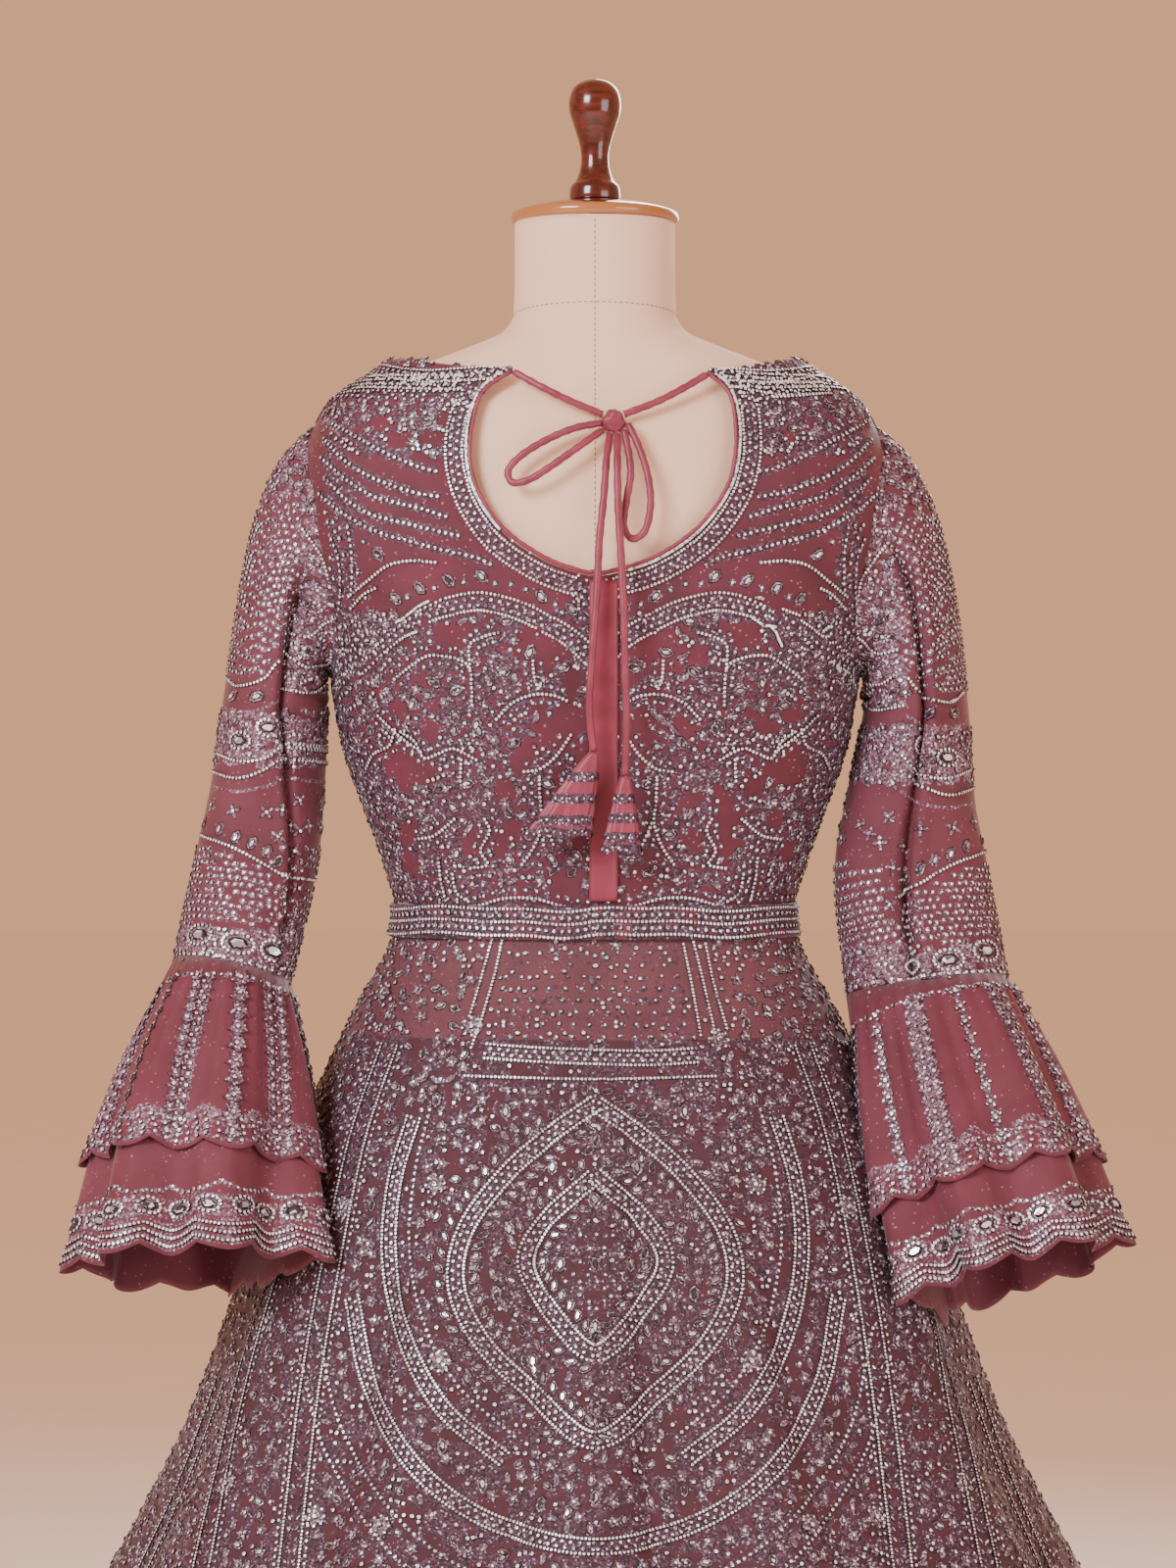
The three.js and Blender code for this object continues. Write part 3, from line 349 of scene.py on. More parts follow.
wood = finish("red_stained_wood", (0.085, 0.006, 0.004), 0.22, Coat_Weight=0.8, Coat_Roughness=0.08)
wood_spot = place_on(wood)
wood_grain = node(wood, "TexNoise", [("Vector", node(wood, "Mapping", [("Vector", wood_spot)],
                  Scale=(20, 160, 160)).outputs["Vector"])], Scale=1.6, Detail=6)
grain_tint = stops(wood, wood_grain.outputs["Fac"],
                   [(0.35, (0.030, 0.002, 0.002)), (0.65, (0.13, 0.010, 0.006))])
across_disc = node(wood, "VectorMath", [(0, wood_spot)], operation="MULTIPLY")
across_disc.inputs[1].default_value = (1, 1, 0)
from_axis = node(wood, "VectorMath", [(0, across_disc.outputs["Vector"])], operation="LENGTH")
rubbing = node(wood, "TexNoise", [("Vector", wood_spot)], Scale=60, Detail=4)
worn_mix = node(wood, "Math", [(0, rubbing.outputs["Fac"]), (2, from_axis.outputs["Value"])],
                operation="MULTIPLY_ADD")
worn_mix.inputs[1].default_value = 0.006
worn_share = stops(wood,
                   node(wood, "MapRange", [("Value", worn_mix.outputs["Value"])], From_Min=0.0585,
                   From_Max=0.0632).outputs["Result"], [(0.35, (0, 0, 0)), (0.75, (1, 1, 1))])
wood_colour = node(wood, "Mix", [("Factor", worn_share)], data_type="RGBA")
wood_colour.inputs[7].default_value = (0.42, 0.15, 0.045, 1)
wood.node_tree.links.new(grain_tint, wood_colour.inputs[6])
into_shader(wood, "Base Color", wood_colour.outputs[2])
bump(wood, wood_grain.outputs["Fac"], 0.0001)
turned("cap_knob", KNOB, 4, [wood], "wood", ["neck_knob"])
turned("cap_disc", NECK_CAP, 4, [wood], "wood", ["neck_cap"])

iron = finish("painted_iron", (0.055, 0.055, 0.058), 0.38, Metallic=0.6)
iron_grain = node(iron, "TexNoise", [("Vector", place_on(iron))], Scale=180, Detail=5)
into_shader(iron, "Roughness",
            node(iron, "MapRange", [("Value", iron_grain.outputs["Fac"])], To_Min=0.3,
            To_Max=0.5).outputs["Result"])
bump(iron, iron_grain.outputs["Fac"], 0.0002)
turned("foot", STAND_BASE, 3, [iron], "metal", ["stand_base"])
turned("pole", STAND_POLE, 1, [iron], "metal", ["stand_pole"])


# ---- Skirt -------------------------------------------------------------------------------------
# A floor-length flared skirt of lined net in two halves, sewn at the sides into a narrow waistband
# round the form. It hangs in soft flutes, and below the peplum it is embroidered to the hem.

# The outer form of blouse, peplum and skirt. square is how square a section is, 2 being an ellipse.
BODY = table("z half back front square", [
    (1480, 147, 77, 68, 2.3), (1477, 152, 78, 69, 2.3), (1465, 168, 82, 74, 2.4),
    (1457, 180, 85, 77, 2.4), (1445, 194, 89, 81, 2.5), (1430, 203, 93, 86, 2.5),
    (1400, 214, 101, 95, 2.6), (1350, 212, 108, 110, 2.6), (1300, 198, 110, 124, 2.5),
    (1245, 191, 106, 132, 2.4), (1200, 184, 99, 127, 2.3), (1150, 167, 92, 116, 2.3),
    (1110, 153, 88, 109, 2.2), (1075, 144, 86, 105, 2.2), (1058, 147, 88, 106, 2.2),
    (1010, 172, 112, 122, 2.2), (982, 186, 126, 132, 2.2), (900, 221, 156, 158, 2.2),
    (812, 252, 188, 188, 2.2), (703, 290, 230, 230, 2.2), (640, 320, 261, 261, 2.2),
    (598, 342, 282, 282, 2.1), (480, 412, 352, 352, 2.1), (240, 512, 462, 462, 2.0),
    (0, 604, 564, 564, 2.0),
])
FALL = table("z flute inset", [
    (960, 0, 12), (900, 1, 9), (800, 4, 9), (600, 9, 10), (480, 14, 11), (0, 22, 11),
])
FLUTES = 12
SKIRT_TOP, SKIRT_HEM, WAISTBAND_HIGH = 986, 12, 1008
PEPLUM_HEM, WAIST_SEAM = 480, 1070
SEAM_GAP = 0.4
CLOTH = 0.9

body_half, body_back, body_front, body_square = (column(BODY, name)
                                                 for name in ("half", "back", "front", "square"))
flute_depth, skirt_inset = column(FALL, "flute"), column(FALL, "inset")


def body_point(angle, z, inset=0.0):
    radius = section_radius(angle, body_half(z) - inset, body_back(z) - inset,
                            body_front(z) - inset, body_square(z))
    flute = flute_depth(z) * np.cos(FLUTES * angle) * (1 + 0.3 * np.cos(4 * angle))
    reach = radius + np.where(z < FALL[0]["z"], flute, 0)
    return with_bust(reach * np.sin(angle), -reach * np.cos(angle), z)


def body_normal(angle, z, inset=0.0):
    around = body_point(angle + 0.004, z, inset) - body_point(angle - 0.004, z, inset)
    up = body_point(angle, z + 0.6, inset) - body_point(angle, z - 0.6, inset)
    normal = np.cross(around, up)
    return normal / np.linalg.norm(normal, axis=-1, keepdims=True)


def grid_normal(points, ring=False):
    wide = points.shape[1]
    after = np.roll(points, -1, 1) if ring else points[:, np.minimum(np.arange(wide) + 1, wide - 1)]
    before = np.roll(points, 1, 1) if ring else points[:, np.maximum(np.arange(wide) - 1, 0)]
    rows = np.arange(len(points))
    up = points[np.minimum(rows + 1, len(points) - 1)] - points[np.maximum(rows - 1, 0)]
    normal = np.cross(after - before, up)
    return normal / np.maximum(np.linalg.norm(normal, axis=-1, keepdims=True), 1e-9)


# A wall of cloth: both faces of a grid of points, closed round the free edges.
def cloth_wall(points, normals, ring=False, thickness=CLOTH):
    rows, wide = points.shape[:2]
    skins = np.concatenate([(points + normals * side * thickness / 2).reshape(-1, 3)
                            for side in (1, -1)])
    face = rows * wide
    outside = grid_faces(rows, wide, ring)
    inside = grid_faces(rows, wide, ring, face)[:, ::-1]
    edge = []
    columns = np.arange(wide if ring else wide - 1)
    for row, turn in ((0, 1), (rows - 1, -1)):
        a, b = row * wide + columns, row * wide + (columns + 1) % wide
        edge.append(np.stack([a, face + a, face + b, b], axis=-1)[:, ::turn])
    if not ring:
        steps = np.arange(rows - 1) * wide
        for col, turn in ((0, -1), (wide - 1, 1)):
            a, b = steps + col, steps + wide + col
            edge.append(np.stack([a, face + a, face + b, b], axis=-1)[:, ::turn])
    return skins, np.concatenate([outside, inside, *edge])


# Every so many rows and columns of a grid, and always its last ones, so that the edges stay put.
def thinned(grid, every, ring=False):
    rows, wide = grid.shape[:2]
    i = sorted({*range(0, rows, every[0]), rows - 1})
    j = list(range(0, wide, every[1])) if ring else sorted({*range(0, wide, every[1]), wide - 1})
    return grid[i][:, j]


def cloth(name, points, normals, finishes, slot, replaced, ring=False, thickness=CLOTH,
          numbers=None, every=(1, 1)):
    wall = cloth_wall(thinned(points, every, ring), thinned(normals, every, ring), ring, thickness)
    return piece(name, *wall, finishes, slot, replaced, numbers)


form_edge = form_half(SKIRT_TOP)


def skirt_inset_at(z):
    at_waist = body_half(SKIRT_TOP) - form_edge - 3.5
    fade = np.clip((z - 900) / (SKIRT_TOP - 900), 0, 1) ** 1.5
    return skirt_inset(z) + (at_waist - skirt_inset(z)) * fade


# Half of a flared panel between the side seams, over the back or the front. The folds are soft
# troughs: where round the body, how wide, how deep, and from where down.
def flared_half(heights, columns, middle, inset_at, folds=()):
    z = heights[:, None]
    inset = inset_at(z)
    reach = math.pi / 2 - SEAM_GAP / 2 / (body_half(z) - inset)
    angle = middle + np.linspace(-1, 1, columns)[None, :] * reach
    z, inset = z + 0 * angle, inset + 0 * angle
    points, normals = body_point(angle, z, inset), body_normal(angle, z, inset)
    for fold in folds:
        away = (np.angle(np.exp(1j * (angle - fold["turn"])))) / fold["wide"]
        grown = np.clip((fold["from"] - z) / 160, 0, 1)
        points = points + normals * (fold["deep"] * np.exp(-away ** 2) * grown)[..., None]
    return points, grid_normal(points), angle, z


SKIRT_FOLDS = table("turn wide deep from", [
    (0.2, 0.05, 5, 900), (-0.34, 0.04, -5, 860), (0.92, 0.06, -6, 840), (-1.05, 0.05, 6, 880),
    (1.9, 0.05, -5, 860), (-2.2, 0.06, 5, 880), (2.75, 0.05, 5, 840), (-2.9, 0.05, -5, 840),
])


def blend(made, share, under, over):
    mixed = node(made, "Mix", data_type="RGBA")
    for socket, source in ((0, share), (6, under), (7, over)):
        if isinstance(source, tuple):
            mixed.inputs[socket].default_value = (*source, 1)
        else:
            made.node_tree.links.new(source, mixed.inputs[socket])
    return mixed.outputs[2]


# Net: fine crossing threads with a dusting of glitter sewn or glued between them.
def net(name, colour, shade, clear, glitter=0.06):
    made = finish(name, colour, 0.55, Alpha=clear, Sheen_Weight=0.3, Sheen_Roughness=0.4)
    spot = place_on(made)
    drift = node(made, "TexNoise", [("Vector", spot)], Scale=24, Detail=5)
    tint = stops(made, drift.outputs["Fac"], [(0.3, shade), (0.7, colour)])
    dust = node(made, "TexVoronoi", [("Vector", spot)], Scale=900)
    lit = node(made, "SeparateColor", [("Color", dust.outputs["Color"])])
    sparkle = stops(made, lit.outputs["Red"], [(0.0, (1, 1, 1)), (glitter, (0, 0, 0))], "CONSTANT")
    into_shader(made, "Base Color", blend(made, sparkle, tint, (0.42, 0.20, 0.25)))
    threads = [node(made, "TexWave", [("Vector", spot)], Scale=430, Distortion=2,
                    bands_direction=way)
               for way in ("X", "Z")]
    crossed = node(made, "Math", [(0, threads[0].outputs["Fac"]), (1, threads[1].outputs["Fac"])],
                   operation="MAXIMUM")
    bump(made, crossed.outputs["Value"], 0.0003, 0.6)
    return made


# Net sewn over in patches with thread and sequins too fine to be shapes; the brightest cells of the
# thread are painted glints of the sequins. worked is how much of it is covered. Where stones is
# above 0 it is how close the small glued stones lie.
SEQUINS = [(0.0, (0.026, 0.006, 0.014)), (0.36, (0.075, 0.024, 0.054)),
           (0.74, (0.135, 0.058, 0.112)),
           (0.94, (0.42, 0.36, 0.50))]
WHITE, BLACK = (1, 1, 1), (0, 0, 0)


def worked_net(name, colour, shade, clear, stones=0, worked=0.53):
    made = net(name, colour, shade, clear, 0.01)
    into = made.node_tree.nodes["Principled BSDF"].inputs
    spot = place_on(made)
    cell = node(made, "TexVoronoi", [("Vector", spot)], Scale=800)
    thread = stops(made,
                   node(made, "SeparateColor", [("Color", cell.outputs["Color"])]).outputs["Red"],
                   SEQUINS,
                   "CONSTANT")
    patches = node(made, "TexNoise", [("Vector", spot)], Scale=75, Detail=2)
    where = stops(made, patches.outputs["Fac"], [(0.0, WHITE), (worked, BLACK)], "CONSTANT")
    look = blend(made, where, into["Base Color"].links[0].from_socket, thread)
    if stones:
        gem = node(made, "TexVoronoi", [("Vector", spot)], Scale=stones)
        # Each small stone is painted as a pale disc, a painted glint, inside a dark ring of painted
        # shade at its rim.
        for reach, tone in ((0.36, (0.030, 0.014, 0.022)), (0.25, (0.62, 0.63, 0.68))):
            disc = stops(made, gem.outputs["Distance"], [(0.0, WHITE), (reach, BLACK)], "CONSTANT")
            look = blend(made, disc, look, tone)
        bumped = node(made, "Bump",
                      [("Height", disc), ("Normal", into["Normal"].links[0].from_socket)],
                      Distance=0.0008)
        into_shader(made, "Normal", bumped.outputs["Normal"])
    into_shader(made, "Base Color", look)
    return made


lining = worked_net("skirt_lining", (0.070, 0.015, 0.026), (0.045, 0.009, 0.016), 1.0, 165)
skirt_heights = np.linspace(SKIRT_HEM, SKIRT_TOP, 90)
SKIRT_CUT = {"back": (1.77, 1.14, 1.244), "front": (1.77, 1.14, 1.246)}
skirt_cloth = {}
for half, middle in (("back", 0.0), ("front", math.pi)):
    points, normals, _, _ = flared_half(skirt_heights, 170, middle, skirt_inset_at, SKIRT_FOLDS)
    skirt_cloth[half] = points, normals
    skirt = cloth("skirt_" + half + "_cloth", points, normals, [lining], "lining",
                  ["skirt_" + half],
                  every=(3, 2))
    wide, long, area = SKIRT_CUT[half]

band_turns = full_turn(120)
band_heights = np.linspace(SKIRT_TOP + SEAM_GAP, WAISTBAND_HIGH, 8)
waistband_points = form_point(band_turns[None, :], band_heights[:, None], 1.6)
waistband = cloth("waistband_tape", waistband_points, grid_normal(waistband_points, True), [lining],
                  "lining", ["skirt_waistband"], ring=True, thickness=1.4)

# The embroidery is made of marks, small sewn shapes that stand on the cloth: cut-glass stones in
# metal cups, round beads, almond mirrors, and leaves, flowers and discs of thread and sequins.
def round_rim(count):
    turns = full_turn(count)
    return np.stack([np.cos(turns), np.sin(turns)], axis=-1)


def mound(rim):
    count = len(rim)
    points = np.concatenate([np.column_stack([rim, np.zeros(count)]), [[0, 0, 1]]])
    a = np.arange(count)
    sides = np.stack([a, (a + 1) % count, np.full(count, count)], axis=-1)
    return points, sides, np.zeros(count, dtype=int)


def button(rim, top):
    count = len(rim)
    points = np.concatenate([np.column_stack([rim, np.zeros(count)]),
                             np.column_stack([rim * top, np.ones(count)])])
    a = np.arange(count)
    b = (a + 1) % count
    sides = np.concatenate([np.stack([a, b, b + count], -1),
                            np.stack([a, b + count, a + count], -1)])
    fan = np.stack([np.full(count - 2, count), count + a[1:-1], count + a[2:]], axis=-1)
    return points, np.concatenate([sides, fan]), np.repeat([0, 1], [len(sides), len(fan)])


almond_rim = round_rim(6) * (1, 0.92)
petal_turns = full_turn(10)
petal_reach = 0.74 + 0.26 * np.cos(5 * petal_turns)
flower_rim = np.stack([np.cos(petal_turns), np.sin(petal_turns)], -1) * petal_reach[:, None]
THREAD, BEAD, SHADED_SIDES, STONE, MIRROR, PETAL = range(6)
# Each raised shape has dark sides under a bright flat top: the dark sides are painted shade, and
# for stones they are also their metal cups, painted dark.
SHAPES = {  # a shape, and the finishes of its sides and its flat top; a mound has one finish
    "stone": (button(round_rim(5), 0.74), (SHADED_SIDES, STONE)),
    "bead": (button(round_rim(5), 0.76), (SHADED_SIDES, BEAD)),
    "leaf": (button(almond_rim, 0.78), (SHADED_SIDES, PETAL)),
    "flower": (button(flower_rim, 0.84), (SHADED_SIDES, PETAL)),
    "disc": (mound(round_rim(7)), (THREAD,)),
    "lobe": (mound(almond_rim), (THREAD,)), "mirror": (button(almond_rim, 0.66), (SHADED_SIDES, MIRROR)),
    "sequin": (mound(round_rim(4)), (THREAD,)), "speck": (mound(round_rim(5)), (THREAD,)),
}


# A glitter finish: each small cell of the surface takes a colour from dark to bright, partly the
# mixed tones of thread, sequins, glass and metal, and partly painted glints and dark facets that
# stand in for their sparkle under the lamps.
def glitter(name, cells, rows, roughness, **values):
    made = finish(name, rows[1][1], roughness, **values)
    grain = node(made, "TexVoronoi", [("Vector", place_on(made))], Scale=cells)
    shade = node(made, "SeparateColor", [("Color", grain.outputs["Color"])])
    into_shader(made, "Base Color", stops(made, shade.outputs["Red"], rows, "CONSTANT"))
    bump(made, grain.outputs["Distance"], 0.0004, 0.7)
    return made


# The few brightest cells of the thread finishes are painted glints of their sequins.
thread_work = glitter("thread_and_sequins", 800, [
    (0.0, (0.026, 0.007, 0.017)), (0.36, (0.074, 0.028, 0.058)), (0.72, (0.135, 0.066, 0.122)),
    (0.93, (0.42, 0.38, 0.52))], 0.6)
# Beads: mostly white cells, painted glints, with a few dark cells as painted dark facets.
bead_glass = glitter("silver_beads", 520, [
    (0.0, (0.25, 0.22, 0.27)), (0.14, (0.72, 0.75, 0.80)), (0.4, (0.97, 0.99, 1.0))], 0.24,
    Metallic=0.2)
# Dark finish of the sides of raised shapes: painted shade round their bright tops, and the stones'
# metal cups.
side_shade_and_cups = glitter("cups_and_side_shade", 700, [
    (0.0, (0.022, 0.009, 0.015)), (0.5, (0.060, 0.034, 0.050)), (0.92, (0.40, 0.38, 0.44))], 0.35,
    Metallic=0.5)
# Cut stones: mostly white cells, painted glints, with a few dark cells as painted dark facets.
stone_glass = glitter("cut_stones", 640, [
    (0.0, (0.16, 0.13, 0.17)), (0.22, (0.66, 0.70, 0.77)), (0.42, (0.97, 0.99, 1.0))], 0.2,
    Metallic=0.2)
# Mirrors: the dark and bright cells are a painted reflection with painted highlights on the glass.
mirror_glass = glitter("small_mirrors", 160, [
    (0.0, (0.06, 0.055, 0.065)), (0.32, (0.34, 0.35, 0.39)), (0.62, (0.86, 0.89, 0.93))], 0.1,
    Metallic=0.3)
# Here too the brightest cells are painted sequin glints on the dark thread.
petal_work = glitter("petals_of_thread", 800, [
    (0.0, (0.060, 0.028, 0.045)), (0.30, (0.13, 0.074, 0.105)), (0.62, (0.23, 0.16, 0.21)),
    (0.88, (0.60, 0.58, 0.68))], 0.5)
pale_thread = glitter("pale_thread", 800, [
    (0.0, (0.070, 0.022, 0.044)), (0.30, (0.175, 0.082, 0.130)), (0.66, (0.28, 0.170, 0.240)),
    (0.90, (0.62, 0.57, 0.70))], 0.55)
SEWN = [thread_work, bead_glass, side_shade_and_cups, stone_glass, mirror_glass, petal_work]
SEWN_PALE = [pale_thread] + SEWN[1:5] + [pale_thread]
spread = np.array([[0, 0]] + [[r * math.cos(a), r * math.sin(a)] for r, n in ((0.5, 6), (1.0, 12))
                              for a in full_turn(n)])


# Smooth curve through a list of points.
def through(points, count):
    points = np.asarray(points, dtype=float)
    padded = np.concatenate([2 * points[:1] - points[1:2], points, 2 * points[-1:] - points[-2:-1]])
    spans = len(points) - 1
    t = np.linspace(0, spans, spans * 24 + 1)
    k = np.minimum(t.astype(int), spans - 1)
    f = (t - k)[:, None]
    a, b, c, d = (padded[k + i] for i in range(4))
    fine = 0.5 * (2 * b + (c - a) * f + (2 * a - 5 * b + 4 * c - d) * f ** 2
                  + (3 * b - a - 3 * c + d) * f ** 3)
    along = np.concatenate([[0], np.cumsum(np.linalg.norm(np.diff(fine, axis=0), axis=1))])
    return np.stack([np.interp(np.linspace(0, along[-1], count), along, fine[:, i])
                     for i in range(fine.shape[1])], -1)


def between(a, b, count=24):
    return np.stack([np.linspace(a[k], b[k], count) for k in (0, 1)], axis=-1)


# One piece's embroidery. Places on the cloth are kept as row and column numbers of its grid.
class Work:
    def __init__(self, points, normals, seed, ring=False, mirror=None):
        self.grid = np.concatenate([points, normals], axis=-1)
        if ring:
            self.grid = np.concatenate([self.grid, self.grid[:, :1]], axis=1)
        self.random = np.random.default_rng(seed)
        self.mirror = mirror
        self.marks = []
        self.fine = 4
        self.taken = np.zeros(tuple(self.fine * n for n in self.grid.shape[:2]), dtype=bool)
        self.bare = self.taken.copy()

    def look(self, at):
        rows, wide = self.grid.shape[:2]
        i, j = np.clip(at[:, 0], 0, rows - 1.001), np.clip(at[:, 1], 0, wide - 1.001)
        low, left = i.astype(int), j.astype(int)
        f, g = (i - low)[:, None], (j - left)[:, None]
        a, b = self.grid[low, left], self.grid[low, left + 1]
        c, d = self.grid[low + 1, left], self.grid[low + 1, left + 1]
        here = (1 - f) * ((1 - g) * a + g * b) + f * ((1 - g) * c + g * d)
        across = ((1 - f) * (b - a) + f * (d - c))[:, :3]
        up = ((1 - g) * (c - a) + g * (d - b))[:, :3]
        normal = here[:, 3:] / np.maximum(np.linalg.norm(here[:, 3:], axis=1, keepdims=True), 1e-9)
        return here[:, :3], normal, across, up

    def move(self, at, step):
        _, _, across, up = self.look(at)
        a, b, c = (across * across).sum(1), (across * up).sum(1), (up * up).sum(1)
        p, q = (step * across).sum(1), (step * up).sum(1)
        det = np.maximum(a * c - b * b, 1e-6)
        return at + np.stack([(q * a - p * b) / det, (p * c - q * b) / det], axis=-1)

    # Places given as across and height, as they show from behind (or, turned, from in front).
    def seen(self, places, facing=-1):
        places = np.asarray(places, dtype=float).reshape(-1, 2).copy()
        if self.mirror is not None:
            places[:, 0] = 2 * self.mirror - places[:, 0]
        flat = self.grid.reshape(-1, 6)
        turned_here = np.where(flat[:, 4] * facing > -0.05, 0, 1e6)
        at = []
        for x, z in places:
            nearest = np.argmin((flat[:, 0] - x) ** 2 + (flat[:, 2] - z) ** 2 + turned_here)
            at.append(divmod(nearest, self.grid.shape[1]))
        at = np.array(at, dtype=float)
        for _ in range(3):
            here, _, across, up = self.look(at)
            dx, dz = (places - here[:, [0, 2]]).T
            det = across[:, 0] * up[:, 2] - up[:, 0] * across[:, 2]
            det = np.where(np.abs(det) < 0.05, np.inf, det)
            dj = (dx * up[:, 2] - dz * up[:, 0]) / det
            di = (dz * across[:, 0] - dx * across[:, 2]) / det
            at = at + np.clip(np.stack([di, dj], axis=-1), -2, 2)
        return at

    # Even places along a line, with the direction the line runs there.
    def line(self, at, step):
        at = np.asarray(at, dtype=float)
        here = self.look(at)[0]
        along = np.concatenate([[0], np.cumsum(np.linalg.norm(np.diff(here, axis=0), axis=1))])
        count = max(2, int(round(along[-1] / step)) + 1)
        where = np.linspace(0, along[-1], count)
        found = np.stack([np.interp(where, along, at[:, k]) for k in (0, 1)], axis=-1)
        spots = self.look(found)[0]
        ahead = np.gradient(spots, axis=0)
        return found, ahead / np.maximum(np.linalg.norm(ahead, axis=1, keepdims=True), 1e-9)

    def curve(self, places, facing=-1):
        return self.seen(through(places, 20 * len(places)), facing)

    def paint(self, at, radius):
        _, _, across, up = self.look(at)
        wide = np.linalg.norm(across, axis=1)[:, None]
        high = np.linalg.norm(up, axis=1)[:, None]
        reach = np.broadcast_to(radius, (len(at),))[:, None]
        i = at[:, :1] + spread[:, 1] * reach / high
        j = at[:, 1:] + spread[:, 0] * reach / wide
        return (np.clip((i * self.fine).astype(int), 0, self.taken.shape[0] - 1),
                np.clip((j * self.fine).astype(int), 0, self.taken.shape[1] - 1))

    def free(self, at, radius):
        return ~self.taken[self.paint(at, radius)].any(axis=1)

    def add(self, kind, at, ahead, long, wide=None, high=0.6, lift=0.0):
        if not len(at):
            return
        at = np.asarray(at, dtype=float)
        point, normal, _, _ = self.look(at)
        ahead = np.broadcast_to(ahead, point.shape)
        ahead = ahead - normal * (ahead * normal).sum(1, keepdims=True)
        ahead = ahead / np.maximum(np.linalg.norm(ahead, axis=1, keepdims=True), 1e-9)
        long = np.broadcast_to(np.asarray(long, dtype=float), (len(at),))[:, None]
        wide = long if wide is None else np.broadcast_to(np.asarray(wide, dtype=float),
                                                         (len(at),))[:, None]
        centre = point + normal * (CLOTH / 2 - 0.08 + lift)
        self.marks.append((kind, centre, ahead * long, np.cross(normal, ahead) * wide,
                           normal * high))
        self.taken[self.paint(at, np.maximum(long, wide)[:, 0])] = True

    def turned_by(self, at, angle):
        _, normal, across, _ = self.look(at)
        across = across / np.maximum(np.linalg.norm(across, axis=1, keepdims=True), 1e-9)
        angle = np.broadcast_to(angle, (len(at),))[:, None]
        return across * np.cos(angle) + np.cross(normal, across) * np.sin(angle)

    # One mark after another along a line, aside from it and turned from its direction.
    def row(self, at, kind, step, long, wide=None, high=0.6, aside=0.0, turn=0.0, lift=0.0,
            shift=0.0):
        found, ahead = self.line(at, step)
        if shift:
            found, ahead = found[:-1] + (found[1:] - found[:-1]) * shift, ahead[:-1]
        _, normal, _, _ = self.look(found)
        side = np.cross(normal, ahead)
        if aside:
            found = self.move(found, side * aside)
        self.add(kind, found, ahead * math.cos(turn) + side * math.sin(turn), long, wide, high,
                 lift)

    def beads(self, at, size=1.35, aside=0.0):
        self.row(at, "sequin", size * 3.4, size * 2.2, size * 1.3, high=0.2, aside=aside)
        self.row(at, "bead", size * 1.95, size * 1.02, high=size, aside=aside, lift=0.2)

    # A chain: stones down the middle between two rows of small slanting leaves of thread.
    def chain(self, at, half=3.4, stone=1.75, step=4.6):
        for side in (-1, 1):
            self.row(at, "lobe", step * 0.72, half * 0.85, half * 0.5, 0.3,
                     aside=side * half * 0.62, turn=side * 0.75)
        self.row(at, "stone", step, stone, high=1.2, lift=0.25)

    # A border: two rows of bright beads, and between them stones on a speckled ground.
    def border(self, at, half=5.6, stone=1.7):
        for side in (-1, 1):
            self.beads(at, 1.4, aside=side * half)
        for aside, shift in ((-half * 0.5, 0.0), (0.0, 0.5), (half * 0.5, 0.0)):
            self.row(at, "disc", 3.4, 2.3, 1.9, 0.35, aside=aside, shift=shift)
        self.row(at, "stone", 6.2, stone, high=1.2, aside=-half * 0.36, lift=0.2)
        self.row(at, "stone", 6.2, stone, high=1.2, aside=half * 0.36, lift=0.2, shift=0.5)

    def ringed_mirrors(self, at, angle, long=3.6):
        ahead = self.turned_by(at, angle)
        self.add("leaf", at, ahead, long * 1.5, long * 1.1, 0.5)
        self.add("mirror", at, ahead, long * 0.95, long * 0.5, 1.0, lift=0.5)

    # An oval mirror in a bright ring of beads, on a bed of thread.
    def bright_ovals(self, at, angle, long=6.5):
        ahead = self.turned_by(at, angle)
        side = self.turned_by(at, np.asarray(angle) + math.pi / 2)
        for turn in np.linspace(0, 2 * math.pi, int(long * 1.65), endpoint=False):
            out = ahead * math.cos(turn) * long * 0.98 + side * math.sin(turn) * long * 0.64
            self.add("speck", self.move(at, out * 0.9), ahead, long * 0.36, high=0.3)
            self.add("bead", self.move(at, out), ahead, 1.7, high=1.2, lift=0.3)
        self.add("mirror", at, ahead, long * 0.72, long * 0.45, 1.2, lift=0.5)

    # A stone on a disc of dark thread; the disc is thread work and also painted shade round the
    # stone's rim.
    def ringed_stones(self, at, size=3.1):
        self.add("disc", at, (0.0, 0.0, 1.0), size, high=0.5)
        self.add("stone", at, (0.0, 0.0, 1.0), size * 0.52, high=1.1, lift=0.3)

    def blooms(self, at, size=4.6):
        angle = self.random.uniform(0, 6.28, len(at))
        self.add("flower", at, self.turned_by(at, angle), size, high=0.7)
        self.add("stone", at, self.turned_by(at, angle), 1.7, high=1.2, lift=0.5)

